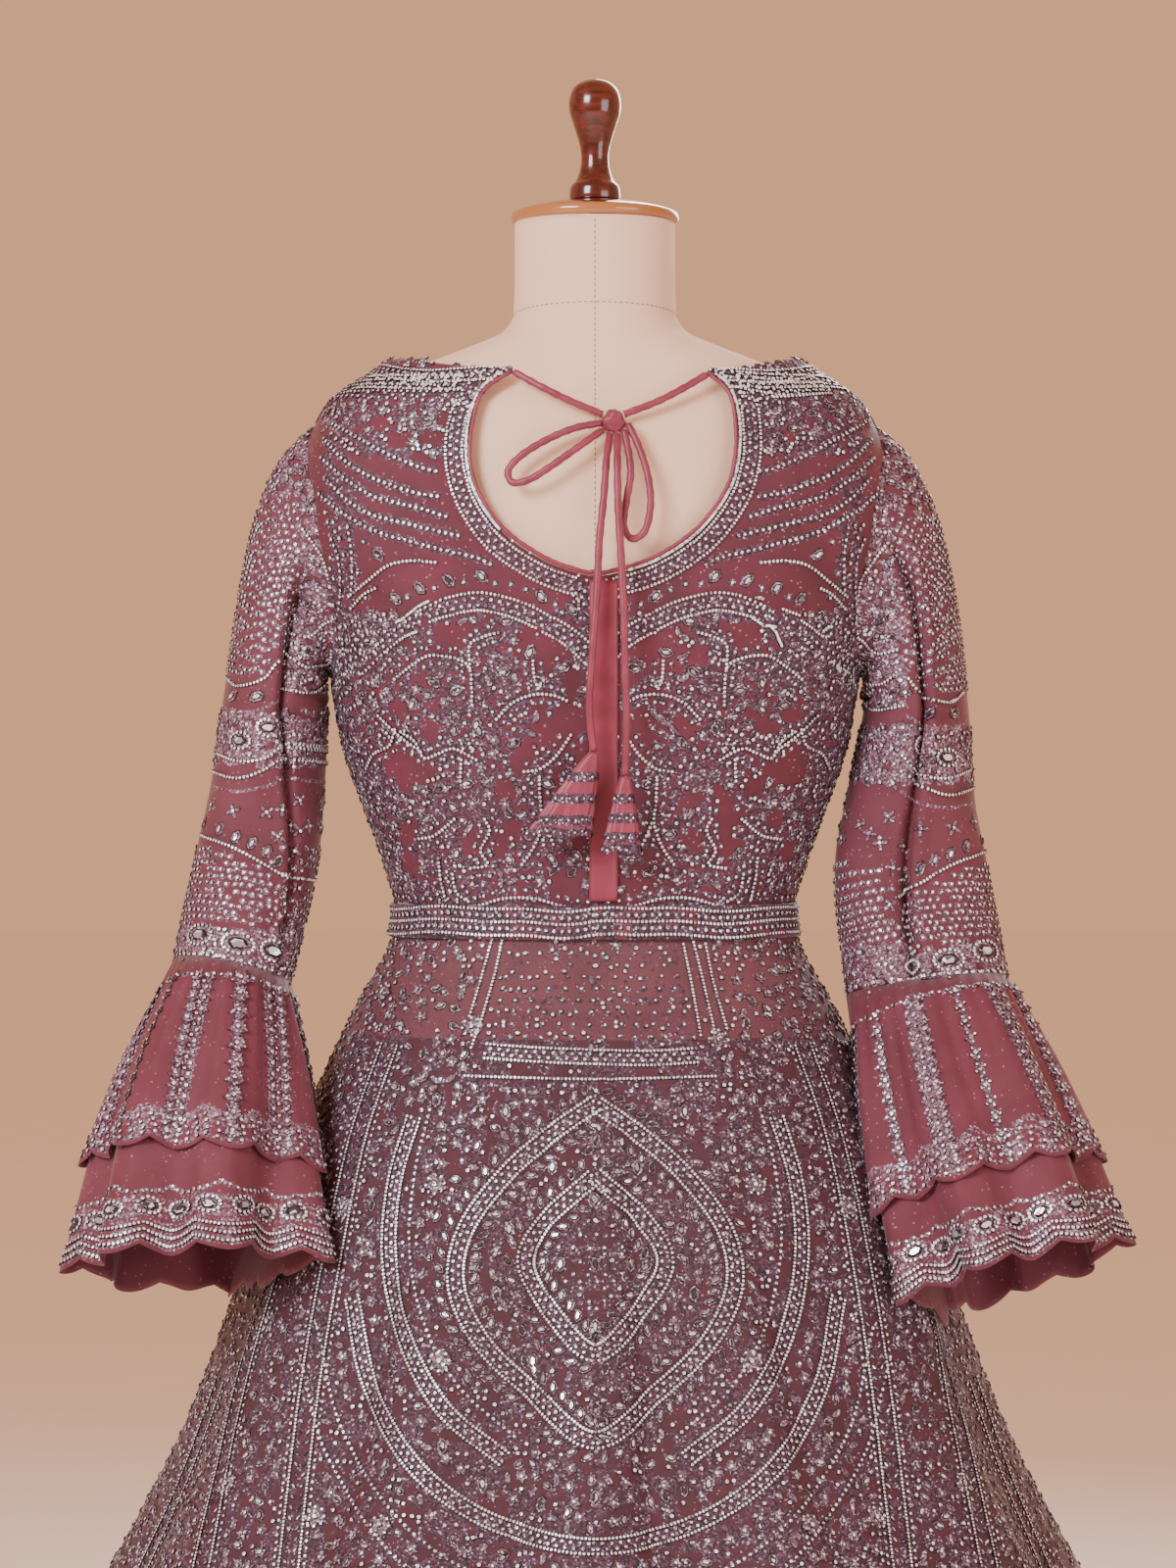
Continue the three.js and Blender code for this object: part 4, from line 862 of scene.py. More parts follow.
    # Places all over the piece, in staggered rows, each moved a little at random.
    def lattice(self, pitch, jitter=0.3, within=None):
        rows, wide = self.grid.shape[:2]
        lengths = np.linalg.norm(np.diff(self.grid[:, :, :3], axis=0), axis=2)
        longest = lengths.sum(0).argmax()
        up = np.concatenate([[0], np.cumsum(lengths[:, longest])])
        held, self.taken = self.taken, np.zeros_like(self.taken)
        found = []
        for number, v in enumerate(np.arange(pitch * 0.5, up[-1], pitch * 0.87)):
            i = np.interp(v, up, np.arange(rows))
            low = min(int(i), rows - 2)
            line = self.grid[low, :, :3] * (1 - i + low) + self.grid[low + 1, :, :3] * (i - low)
            along = np.concatenate([[0], np.cumsum(np.linalg.norm(np.diff(line, axis=0), axis=1))])
            s = np.arange(pitch * (0.25 + 0.5 * (number % 2)), along[-1], pitch)
            at = np.stack([np.full(len(s), i), np.interp(s, along, np.arange(wide))], axis=-1)
            at = at[self.free(at, pitch * 0.33)]
            self.taken[self.paint(at, pitch * 0.42)] = True
            found.append(at)
        self.taken = held
        at = np.concatenate(found)
        _, _, across, upward = self.look(at)
        scale = np.stack([np.linalg.norm(upward, axis=1), np.linalg.norm(across, axis=1)], axis=-1)
        at = at + self.random.uniform(-jitter, jitter, at.shape) * pitch / np.maximum(scale, 1e-3)
        at = np.clip(at, 0, np.array(self.grid.shape[:2]) - 1.001)
        if within is not None:
            at = at[within(self.look(at)[0])]
        return at

    # Close flat stitching in scalloped patches, under all the rest but not on the bare places.
    def bed(self, share, within=None, pitch=5.0, size=3.6):
        at = self.lattice(pitch, 0.25, within)
        at = at[~self.bare[self.paint(at, size * 0.8)].any(axis=1)
                & (self.random.random(len(at)) < share)]
        held = self.taken.copy()
        self.add("speck", at, self.turned_by(at, self.random.uniform(0, 1, len(at))), size,
                 high=0.3, lift=0.02)
        self.taken = held

    # Keeps round places of plain net free of embroidery.
    def spare(self, pitch, radius, share, within=None):
        at = self.lattice(pitch, 0.45, within)
        at = at[self.free(at, radius * 0.6) & (self.random.random(len(at)) < share)]
        for angle in (0.3, 1.9, 3.5, 5.1):
            aside = self.move(at, self.turned_by(at, angle) * radius * 0.8)
            for spots, reach in ((at, radius), (aside, radius * 0.7)):
                self.taken[self.paint(spots, reach)] = True
                self.bare[self.paint(spots, reach)] = True

    # Fills what is still free, from the largest shapes down to single stones. Sparse work, which
    # is small, lies on no bed of thread.
    def fill(self, share=1.0, within=None, large=13.0, stones=5.4, leafy=0.5, small=False):
        if not small:
            self.bed(0.94 * share, within, 5.6, 4.0)
        at = self.lattice(large, 0.35, within)
        at = at[self.free(at, 4.2) & (self.random.random(len(at)) < share)]
        pick = self.random.random(len(at))
        self.blooms(at[pick < 0.6], 6.0)
        some = at[pick >= 0.6]
        self.ringed_mirrors(some, self.random.uniform(0, 3.1, len(some)), 3.8)
        at = self.lattice(large * 0.56, 0.3, within)
        at = at[self.free(at, 2.9) & (self.random.random(len(at)) < share)]
        pick = self.random.random(len(at))
        self.ringed_stones(at[pick > leafy], 3.6)
        some = at[pick <= leafy]
        self.add("leaf", some, self.turned_by(some, self.random.uniform(0, 3.1, len(some))), 5.6,
                 3.0, 0.6)
        at = self.lattice(stones, 0.22, within)
        at = at[self.free(at, 1.1) & (self.random.random(len(at)) < share)]
        pick = self.random.random(len(at))
        self.add("stone", at[pick < 0.8], (0, 0, 1.0), 2.0, high=1.2, lift=0.25)

    def sew(self, name, slot="net", sewn=SEWN):
        points, faces, numbers, first = [], [], [], 0
        for kind, centre, ahead, side, up in self.marks:
            (shape, triangles, part), finishes = SHAPES[kind]
            made = (centre[:, None] + shape[:, :1] * ahead[:, None] + shape[:, 1:2] * side[:, None]
                    + shape[:, 2:] * up[:, None])
            points.append(made.reshape(-1, 3))
            starts = first + np.arange(len(centre)) * len(shape)
            faces.append((triangles[None] + starts[:, None, None]).reshape(-1, 3))
            numbers.append(np.tile(np.array(finishes)[part], len(centre)))
            first += made.shape[0] * made.shape[1]
        return piece(name, np.concatenate(points), np.concatenate(faces), sewn, slot,
                     numbers=np.concatenate(numbers), smooth=False)


# Below the peplum the skirt has rows of stones over its hem and scattered flowers.
for half in ("back", "front"):
    work = Work(*skirt_cloth[half], 41)
    rows, wide = work.grid.shape[:2]
    for row in (1.0, 1.8, 2.9, 3.4):
        work.row(between((row, 0.5), (row, wide - 1.5), 200), "stone", 9.0, 2.2, high=1.2)
    work.fill(0.9, lambda p: p[:, 2] < 480, large=64, stones=64, small=True)
    work.sew("embroidery_skirt_" + half, "lining")


# ---- Peplum ------------------------------------------------------------------------------------
# The long skirt of the blouse: sheer net in two flared halves, sewn to the bodice at the waist and
# worked all over with thread, sequins, crystals and small mirrors.
PEPLUM_FOLDS = table("turn wide deep from", [
    (0.16, 0.035, -3, 1000), (-0.22, 0.04, -3, 990), (0.62, 0.05, -4, 930), (-0.72, 0.05, -4, 900),
    (1.15, 0.06, 4, 960), (-1.2, 0.05, 4, 940), (1.75, 0.05, -4, 930), (-1.9, 0.05, -4, 930),
    (2.4, 0.05, 3, 930), (-2.55, 0.05, 3, 930),
])
peplum_net = worked_net("peplum_net", (0.085, 0.013, 0.030), (0.050, 0.008, 0.018), 0.9)
front_net = worked_net("peplum_front_net", (0.085, 0.015, 0.028), (0.050, 0.009, 0.017), 0.9, 165)
yoke_net = net("yoke_net", (0.20, 0.062, 0.090), (0.15, 0.045, 0.066), 0.64, 0.01)
YOKE_LOW, WORK_LOW, PEPLUM_EVERY = 986, 612, (3, 1)
peplum_heights = np.concatenate([np.linspace(PEPLUM_HEM, 1040, 90),
                                 np.linspace(1042, WAIST_SEAM - SEAM_GAP, 12)])
peplum_cloth = {}
for half, middle in (("back", 0.0), ("front", math.pi)):
    points, normals, _, z = flared_half(peplum_heights, 170, middle, lambda z: 0 * z, PEPLUM_FOLDS)
    peplum_cloth[half] = points, normals
    z = thinned(z, PEPLUM_EVERY)
    sheer = np.where(z > YOKE_LOW, 1,
                     np.where(z < WORK_LOW, 2, 0)) if half == "back" else np.full(z.shape, 2)
    sheer = sheer[:-1, :-1].ravel()
    edges = np.zeros(2 * (z.shape[0] + z.shape[1] - 2), dtype=int)
    peplum = cloth("peplum_" + half + "_net", points, normals,
                   [peplum_net, yoke_net, front_net], "net", ["peplum_" + half],
                   numbers=np.concatenate([sheer, sheer, edges]), every=PEPLUM_EVERY)

# Embroidery of the peplum's back: a lattice of stones on the sheer yoke between slanting rows of
# beads, and below it a pointed medallion in a double frame over scalloped garlands. The sides are
# covered with columns of paired mirrors, thread flowers and stones.
# A route drawn to the middle and carried on as its own mirror image, and one drawn on both sides.
def both_sides(half):
    return half + [(-x, z) for x, z in half[-2::-1]]


def left_and_right(route):
    return [route, [(-x, z) for x, z in route]]


MEDALLION = {
    "frame": both_sides([(0, 946.3), (-29.3, 926.3), (-62.2, 897.7), (-89.4, 860.5), (-95.1, 823.3),
                         (-76.5, 786.1), (-42.2, 754.7), (0, 726.1)]),
    "core": both_sides([(0, 897.7), (-33.6, 867.7), (-47.9, 839.1), (-29.3, 807.6), (0, 781.9)]),
    "garlands": [
        both_sides([(-168, 811.9), (-153.7, 754.7), (-119.4, 704.6), (-65.1, 670.3), (0, 660.3)]),
        *left_and_right([(-126.6, 934.9), (-139.4, 890.5), (-142.3, 840.5), (-130.8, 790.4),
                         (-103.7, 744.7), (-62.2, 711.8)]),
    ],
    "stone_rows": [
        both_sides([(-192.3, 790.4), (-172.3, 723.2), (-126.6, 668.9), (-69.4, 636), (0, 626)]),
        both_sides([(-203.8, 769), (-182.3, 706.1), (-133.7, 650.3), (-72.2, 618.8), (0, 608.8)]),
        *left_and_right([(-115.1, 940.6), (-125.1, 897.7), (-128, 847.6), (-116.5, 797.6),
                         (-92.2, 757.5), (-55.1, 726.1)]),
    ],
}
YOKE = {
    "bars": [
        [(-76.5, 981.3), (-39.3, 979.2), (0, 977.8), (37.9, 977), (70.8, 978.5)],
        [(-90.8, 964.2), (-47.9, 963.5), (0, 962.8), (47.9, 963.5), (83.7, 964.2)],
    ],
    "slants": [
        [(-65.1, 1060.7), (-70.8, 1033.5), (-79.4, 1003.5), (-86.5, 983.5)],
        [(-72.2, 1060.7), (-79.4, 1033.5), (-87.9, 1004.9)],
        [(62.2, 1055), (67.9, 1026.4), (73.6, 992.1)],
        [(77.9, 1055), (83.7, 1026.4), (92.2, 996.4)],
        [(69.4, 1056.4), (76.5, 1026.4), (83.7, 993.5)],
    ],
    "lattice": [(-59.3, 1056.4), (57.9, 1056.4), (69.4, 989.2), (-76.5, 989.2)],
    "gaps": [
        [(-108.7, 1040.7), (-96.5, 1049.3), (-100.8, 1026.4), (-112.3, 1017.8)],
        [(-125.1, 997.8), (-108, 1012.1), (-113.7, 982.1), (-128, 977.8)],
        [(-135.1, 1033.5), (-128, 1037.8), (-129.4, 1025), (-136.6, 1022.1)],
        [(103.7, 1037.1), (113.7, 1026.4), (112.3, 1014.9), (102.2, 1026.4)],
        [(115.1, 1010.7), (130.8, 997.8), (128, 989.2), (116.5, 997.8)],
        [(148.7, 1026.4), (156.6, 1019.2), (153.7, 1009.2), (146.6, 1016.4)],
    ],
}
COLUMNS = [
    [(-145.1, 983.5), (-166.6, 919.1), (-183.8, 833.3), (-198.1, 740.4), (-210.9, 604.5)],
    [(146.6, 983.5), (168, 919.1), (185.2, 833.3), (198.1, 740.4), (210.9, 604.5)],
    [(-219.5, 847.6), (-246.7, 754.7), (-275.3, 604.5)],
    [(220.9, 847.6), (246.7, 754.7), (275.3, 604.5)],
    [(-268.1, 740.4), (-293.9, 668.9), (-326.8, 597.4)],
    [(271, 740.4), (295.3, 668.9), (325.3, 597.4)],
    [(-119.4, 626), (-126.6, 583.1), (-133.7, 540.2)], [(120.8, 626), (128, 583.1), (135.1, 540.2)],
]
MIRRORS = [(0, 882), (-23.6, 839.1), (23.6, 839.1), (0, 799), (0, 839.1), (-59.3, 861.9),
           (59.3, 861.9), (-67.9, 819), (67.9, 819), (-42.2, 774.7), (42.2, 774.7), (0, 746.1),
           (-29.3, 903.4), (29.3, 903.4), (0, 922), (-76.5, 696.1), (76.5, 696.1), (0, 690.3),
           (-36.5, 684.6), (36.5, 684.6), (-103.7, 720.4), (103.7, 720.4), (0, 643.1),
           (-110.8, 947.7), (110.8, 947.7), (-62.2, 940.6), (62.2, 940.6)]


def within_corners(corners):
    return lambda spots: inside(spots[:, [0, 2]], corners) & (spots[:, 1] < 0)


def inside(places, corners):
    found = np.zeros(len(places), dtype=bool)
    for (ax, az), (bx, bz) in zip(corners, corners[1:] + corners[:1]):
        crosses = (az > places[:, 1]) != (bz > places[:, 1])
        found ^= crosses & (places[:, 0] < (bx - ax) * (places[:, 1] - az) / (bz - az + 1e-9) + ax)
    return found


# A column of mirrors set in pairs like leaves on a stem, between two rows of beads.
def leaf_column(work, at):
    for aside in (-7.5, 7.5):
        work.beads(at, 1.3, aside=aside)
    for aside, turn in ((-3.3, 0.7), (3.3, -0.7)):
        work.row(at, "disc", 7.6, 3.9, 2.2, 0.4, aside=aside, turn=turn)
        work.row(at, "mirror", 7.6, 2.7, 1.25, 0.9, aside=aside, turn=turn, lift=0.3)
    for aside in (-11.5, 11.5):
        work.row(at, "stone", 5.2, 1.6, high=1.1, aside=aside)


# Round flowers of thread with a ring of stones, as wide as two fingers.
def rosettes(work, at, size=11.0):
    angle = work.random.uniform(0, 1, len(at))
    work.add("flower", at, work.turned_by(at, angle), size, high=0.7)
    ahead, side = work.turned_by(at, angle), work.turned_by(at, angle + math.pi / 2)
    for turn in full_turn(8):
        out = (ahead * math.cos(turn) + side * math.sin(turn)) * size * 0.62
        work.add("stone", work.move(at, out), ahead, 1.5, high=1.1, lift=0.2)
    work.add("stone", at, ahead, 2.3, high=1.4, lift=0.6)


def keep(low, high, left, right):
    return lambda p: (p[:, 2] > low) & (p[:, 2] <= high) & (p[:, 0] > left) & (p[:, 0] <= right)


def peplum_back_part(name, seed, left, right):
    work = Work(*peplum_cloth["back"], seed)

    def here(at):
        x = work.look(at)[0][:, 0]
        return at[(x > left) & (x <= right)]

    for route in (MEDALLION["frame"], MEDALLION["core"]):
        at = here(work.curve(route))
        if len(at) > 3:
            for run in np.split(at,
                                np.where(np.linalg.norm(np.diff(at, axis=0), axis=1) > 6)[0] + 1):
                if len(run) > 3:
                    work.border(run, 5.6)
                    for aside, turn in ((-12.5, 0.8), (12.5, -0.8)):
                        work.row(run, "leaf", 9.6, 6.2, 3.6, 0.5, aside=aside, turn=turn)
                        work.row(run, "mirror", 9.6, 4.0, 1.9, 1.0, aside=aside, turn=turn,
                                 lift=0.5)
    for route in MEDALLION["garlands"] + YOKE["bars"][:1]:
        at = here(work.curve(route))
        work.border(at, 5.2) if len(at) > 3 else None
    for route in YOKE["bars"][1:] + YOKE["slants"]:
        at = here(work.curve(route))
        work.beads(at, 1.4) if len(at) > 3 else None
    for route in MEDALLION["stone_rows"]:
        at = here(work.curve(route))
        if len(at) > 3:
            work.row(at, "speck", 4.6, 2.6, high=0.4)
            work.row(at, "stone", 4.6, 1.7, high=1.2, lift=0.1)
    for route in COLUMNS:
        at = here(work.curve(route))
        leaf_column(work, at) if len(at) > 3 else None
    at = here(work.seen(MIRRORS))
    work.ringed_mirrors(at, 1.57, 4.8)
    rosettes(work, here(work.seen([(-110.8, 890.5), (110.8, 890.5), (-106.5, 774.7), (106.5, 774.7),
        (-176.6, 871.9), (176.6, 871.9), (-229.5, 790.4), (229.5, 790.4), (-255.3, 683.2),
        (255.3, 683.2),
        (-145.1, 668.9), (145.1, 668.9), (-151.6, 1019.2), (152.3, 1019.2), (86.5, 989.2),
        (-86.5, 997.8),
        (-190.9, 668.9), (190.9, 668.9)])))
    lattice = within_corners(YOKE["lattice"])
    at = here(work.lattice(11.0, 0.05, lattice))
    work.ringed_stones(at[work.free(at, 2)], 2.9)
    at = here(work.lattice(5.5, 0.2, lattice))
    at = at[work.free(at, 1.0)]
    work.add("speck", at, (0, 0, 1.0), 2.0, high=0.3)
    bare = [within_corners(corners) for corners in YOKE["gaps"]]

    def covered(low, high):
        return lambda p: keep(low, high, left, right)(p) & ~np.any([gap(p) for gap in bare], axis=0)

    core = within_corners(MEDALLION["core"])
    at = work.lattice(5.4, 0.12, lambda p: core(p) & keep(0, 1100, left, right)(p))
    at = at[work.free(at, 1.3)]
    work.add("speck", at, (0, 0, 1.0), 2.7, high=0.4)
    work.add("stone", at[::2], (0, 0, 1.0), 1.6, high=1.2, lift=0.1)
    work.fill(0.97, covered(606, 1070), large=13.5, stones=5.6, small=True)
    return work.sew(name)


peplum_back_part("embroidery_peplum_back_left", 31, -700, 0)
peplum_back_part("embroidery_peplum_back_right", 32, 0, 700)
for half in ("back", "front"):
    work = Work(*peplum_cloth[half], 35)
    rows, wide = work.grid.shape[:2]
    work.border(between((3, 0.5), (3, wide - 1.5), 200), 5.6)
    low = keep(480, 606, -700, 700)
    if half == "front":
        work.fill(0.9, keep(760, 1070, -700, 700), large=44, stones=30, small=True)
        low = keep(480, 760, -700, 700)
    work.fill(0.9, low, large=60, stones=60, small=True)
    work.sew("embroidery_peplum_" + ("hem" if half == "back" else "front"))


# ---- Bodice ------------------------------------------------------------------------------------
# The fitted body of the blouse: a front and two back halves of lined net, sewn at the sides and
# shoulders. The back has a pear-shaped keyhole under a straight neck edge.
ARMHOLE = {"low": 1246, "high": 1430, "behind": 54, "before": 46}
NECK_POINT, NECK_FRONT_DROP = 1477, 44
KEYHOLE_LEFT = [(0.2, 1316), (8, 1316), (36, 1326), (66, 1347), (86, 1378), (91, 1410), (86, 1439),
                (76, 1454),
                (60, 1464)]
KEYHOLE_RIGHT = [(0.2, 1316), (10, 1316), (42, 1326), (73, 1347), (95, 1377), (102, 1406),
                 (101, 1434),
                 (94, 1452), (81, 1463)]
BODY_REACH = 190  # about how far the cloth is from the axis
SEAM_ANGLE = SEAM_GAP / 2 / BODY_REACH


def angle_across(across, z, behind=True):
    share = np.minimum(1, np.abs(across) / body_half(z))
    square = body_square(z)
    deep = np.where(behind, body_back(z), body_front(z)) * (1 - share ** square) ** (1 / square)
    return np.sign(across) * np.arctan2(np.abs(across), np.where(behind, deep, -deep))


def angle_deep(deep, z):
    square = body_square(z)
    depth = np.where(deep < 0, body_back(z), body_front(z))
    across = body_half(z) * (1 - (np.abs(deep) / depth) ** square) ** (1 / square)
    return np.arctan2(across, -deep)


# Half of the armhole from underarm to shoulder: angle, height, and the lean of the cloth's rows.
def armhole_spot(share, behind):
    turn = math.pi * (1 - share)
    middle = (ARMHOLE["high"] + ARMHOLE["low"]) / 2
    half_high = (ARMHOLE["high"] - ARMHOLE["low"]) / 2
    half_deep = ARMHOLE["behind"] if behind else ARMHOLE["before"]
    z = middle + half_high * np.cos(turn)
    angle = angle_deep((-half_deep if behind else half_deep) * np.sin(turn), z)
    return angle, z, np.arctan2(np.cos(turn) / half_high, np.sin(turn) / half_deep)


def outer_edge(behind, side_rows, armhole_rows):
    seam = math.pi / 2 + (-SEAM_ANGLE if behind else SEAM_ANGLE)
    side_z = np.linspace(WAIST_SEAM, ARMHOLE["low"], side_rows)[:-1]
    share = np.linspace(0, 1, armhole_rows)
    angle, z, lean = armhole_spot(share, behind)
    lean[0] = -0.8
    side_lean = -0.8 * ((side_z - WAIST_SEAM) / (ARMHOLE["low"] - WAIST_SEAM)) ** 6
    angle = np.concatenate([np.full(len(side_z), seam), angle])
    angle = np.minimum(angle, seam) if behind else np.maximum(angle, seam)
    return angle, np.concatenate([side_z, z]), np.concatenate([side_lean, lean])


def back_inner_edge(keyhole, rows):
    keyhole = np.array(keyhole, dtype=float)
    corner = keyhole[-1]
    edge = through(keyhole, 60)
    share = np.linspace(0, 1, 14)[1:]
    neck = np.stack([corner[0] + (body_half(NECK_POINT) - corner[0]) * share,
                     corner[1] + (NECK_POINT - corner[1]) * share ** 1.6], -1)
    parts = [(np.stack([np.full(4, keyhole[0, 0]), np.linspace(WAIST_SEAM, keyhole[0, 1], 4)], -1),
              rows["centre"]),
             (edge, rows["keyhole"]), (np.concatenate([[corner], neck]), rows["neck"])]
    spots = np.concatenate([through(part, count)[(1 if i else 0):]
                            for i, (part, count) in enumerate(parts)])
    angle = np.minimum(angle_across(spots[:, 0], spots[:, 1]), math.pi / 2 - SEAM_ANGLE)
    return angle, spots[:, 1]


def front_inner_edge(rows):
    lowest = NECK_POINT - NECK_FRONT_DROP
    centre_z = np.linspace(WAIST_SEAM, lowest, rows["centre"])
    share = np.linspace(0, 1, rows["neck"])[1:]
    z = NECK_POINT - NECK_FRONT_DROP * (1 - share ** 2.4)
    angle = np.maximum(angle_across(body_half(NECK_POINT) * share, z, False),
                       math.pi / 2 + SEAM_ANGLE)
    return np.concatenate([np.full(len(centre_z), math.pi), angle]), np.concatenate([centre_z, z])


# Rows of cloth between the two edges, each bent so that it passes round the armhole.
def panel_spots(inner, outer, columns, side):
    (from_angle, from_z), (to_angle, to_z, lean) = inner, outer
    wide = body_half(to_z)
    reach = 0.2 * np.hypot((to_angle - from_angle) * wide, to_z - from_z)
    mid_angle = to_angle + np.sign(from_angle - to_angle) * reach * np.cos(lean) / wide
    mid_z = to_z + reach * np.sin(lean)
    t = np.linspace(0, 1, columns)[None, :]
    shares = ((1 - t) ** 2, 2 * t * (1 - t), t ** 2)
    angle = sum(w * part[:, None] for w, part in zip(shares, (from_angle, mid_angle, to_angle)))
    z = sum(w * part[:, None] for w, part in zip(shares, (from_z, mid_z, to_z)))
    return side * angle, z


bodice_net = net("bodice_net", (0.150, 0.018, 0.044), (0.092, 0.010, 0.026), 0.93, 0.008)
ROWS = {"centre": 27, "keyhole": 46, "neck": 14}
ROW_COUNT = sum(ROWS.values()) - 2
back_cloth = {}
for half, keyhole, side in (("left", KEYHOLE_LEFT, -1), ("right", KEYHOLE_RIGHT, 1)):
    inner = back_inner_edge(keyhole, ROWS)
    outer = outer_edge(True, 41, ROW_COUNT - 40)
    angle, z = panel_spots(inner, outer, 60, side)
    points, normals = body_point(angle, z)[:, ::side], body_normal(angle, z)[:, ::side]
    back_cloth[half] = points, normals
    back = cloth("bodice_back_" + half + "_net", points, normals, [bodice_net], "net",
                 ["bodice_back_" + half])

front_ground = worked_net("bodice_front_ground", (0.150, 0.018, 0.044), (0.092, 0.010, 0.026), 0.95,
                          0, 0.6)
front_rows = {"centre": 50, "neck": 36}
front_inner = front_inner_edge(front_rows)
front_outer = outer_edge(False, 41, 45)
halves = [panel_spots(front_inner, front_outer, 60, side) for side in (1, -1)]
walls = []
for (angle, z), side in zip(halves, (1, -1)):
    points, normals = body_point(angle, z), body_normal(angle, z)
    walls.append(cloth_wall(thinned(points[:, ::-side], (2, 2)),
                            thinned(normals[:, ::-side], (2, 2))))
front_points = [points for points, _ in walls]
front_faces = [walls[0][1], walls[1][1] + len(walls[0][0])]
front = piece("bodice_front_net", np.concatenate(front_points), np.concatenate(front_faces),
              [front_ground], "net",
              ["bodice_front"])

# The closing strip of the back is a folded satin tape that covers the hooks, and rolls of the same
# satin are sewn down along the keyhole and the front neck.
def satin_finish(name, colour, shade):
    made = finish(name, colour, 0.40, Sheen_Weight=0.35, Sheen_Roughness=0.35)
    spot = place_on(made)
    drift = node(made, "TexNoise", [("Vector", spot)], Scale=55, Detail=4)
    into_shader(made, "Base Color",
                stops(made, drift.outputs["Fac"], [(0.3, shade), (0.7, colour)]))
    threads = node(made, "TexWave", [("Vector", spot)], Scale=700, Distortion=1.2,
                   bands_direction="DIAGONAL")
    bump(made, threads.outputs["Fac"], 0.0001, 0.4)
    return made


satin = satin_finish("dusty_pink_satin", (0.29, 0.042, 0.082), (0.20, 0.025, 0.050))
PLACKET = {"left": -4, "right": 16, "low": 1086, "high": 1312, "lift": 2.8}
rows = np.linspace(PLACKET["low"], PLACKET["high"], 60)[:, None]
across = np.linspace(PLACKET["left"], PLACKET["right"], 9)[None, :] + 0 * rows
rows = rows + 0 * across
angle = angle_across(across, rows)
buckle = 0.5 * np.sin(rows / 9.0 + across / 7) * np.sin(rows / 23.0)
edge_roll = 0.6 * (np.abs(across - 6) / 10) ** 4
lift = (PLACKET["lift"] + buckle - edge_roll)[..., None]
points = body_point(angle, rows) + body_normal(angle, rows) * lift
placket = cloth("back_tape", points, grid_normal(points), [satin], "satin", ["back_placket"],
                thickness=0.8)

BINDING, ROLL_SIDES = 3.2, 8


# A roll of bias-cut satin just inside an edge, with the small puckers of its sewing.
def roll(name, angles, heights, inwards, near, replaced, length):
    count = max(40, int(length / 2.2))
    edge = through(np.stack([angles * BODY_REACH, heights], axis=-1), count)
    angles, heights = edge[:, 0] / BODY_REACH, edge[:, 1]
    middle, normal = body_point(angles, heights), body_normal(angles, heights)
    ahead = np.gradient(middle, axis=0)
    ahead = ahead / np.linalg.norm(ahead, axis=1, keepdims=True)
    away = np.cross(ahead, normal) * inwards
    centre = middle + away * (near + BINDING / 2)
    pucker = 1 + 0.10 * np.sin(np.arange(count) * 1.9) + 0.05 * np.sin(np.arange(count) * 0.71)
    turns = full_turn(ROLL_SIDES)
    ring = (np.cos(turns)[None, :, None] * away[:, None] + np.sin(turns)[None, :, None]
            * normal[:, None])
    points = centre[:, None] + ring * (BINDING / 2 * pucker)[:, None, None]
    caps = np.array([list(range(ROLL_SIDES))[::-1],
                     list(range((count - 1) * ROLL_SIDES, count * ROLL_SIDES))])
    return piece(name, points.reshape(-1, 3), [grid_faces(count, ROLL_SIDES, True), caps], [satin],
                 "satin", replaced)


for half, keyhole, side in (("left", KEYHOLE_LEFT, -1), ("right", KEYHOLE_RIGHT, 1)):
    spots = np.array(keyhole, dtype=float)
    edge_angles = side * angle_across(spots[:, 0], spots[:, 1])
    roll("keyhole_roll_" + half, edge_angles, spots[:, 1], -side, 0.8, ["neck_binding_" + half],
         200)
share = np.linspace(0, 1, 9)
neck_z = NECK_POINT - NECK_FRONT_DROP * (1 - share ** 2.4)
neck_angle = np.maximum(angle_across(body_half(NECK_POINT) * share, neck_z, False),
                        math.pi / 2 + SEAM_ANGLE)
neck_angle[0] = math.pi
roll("front_neck_roll", np.concatenate([neck_angle[::-1], 2 * math.pi - neck_angle[1:]]),
     np.concatenate([neck_z[::-1], neck_z[1:]]), -1, 0.8, ["neck_binding_front"], 330)

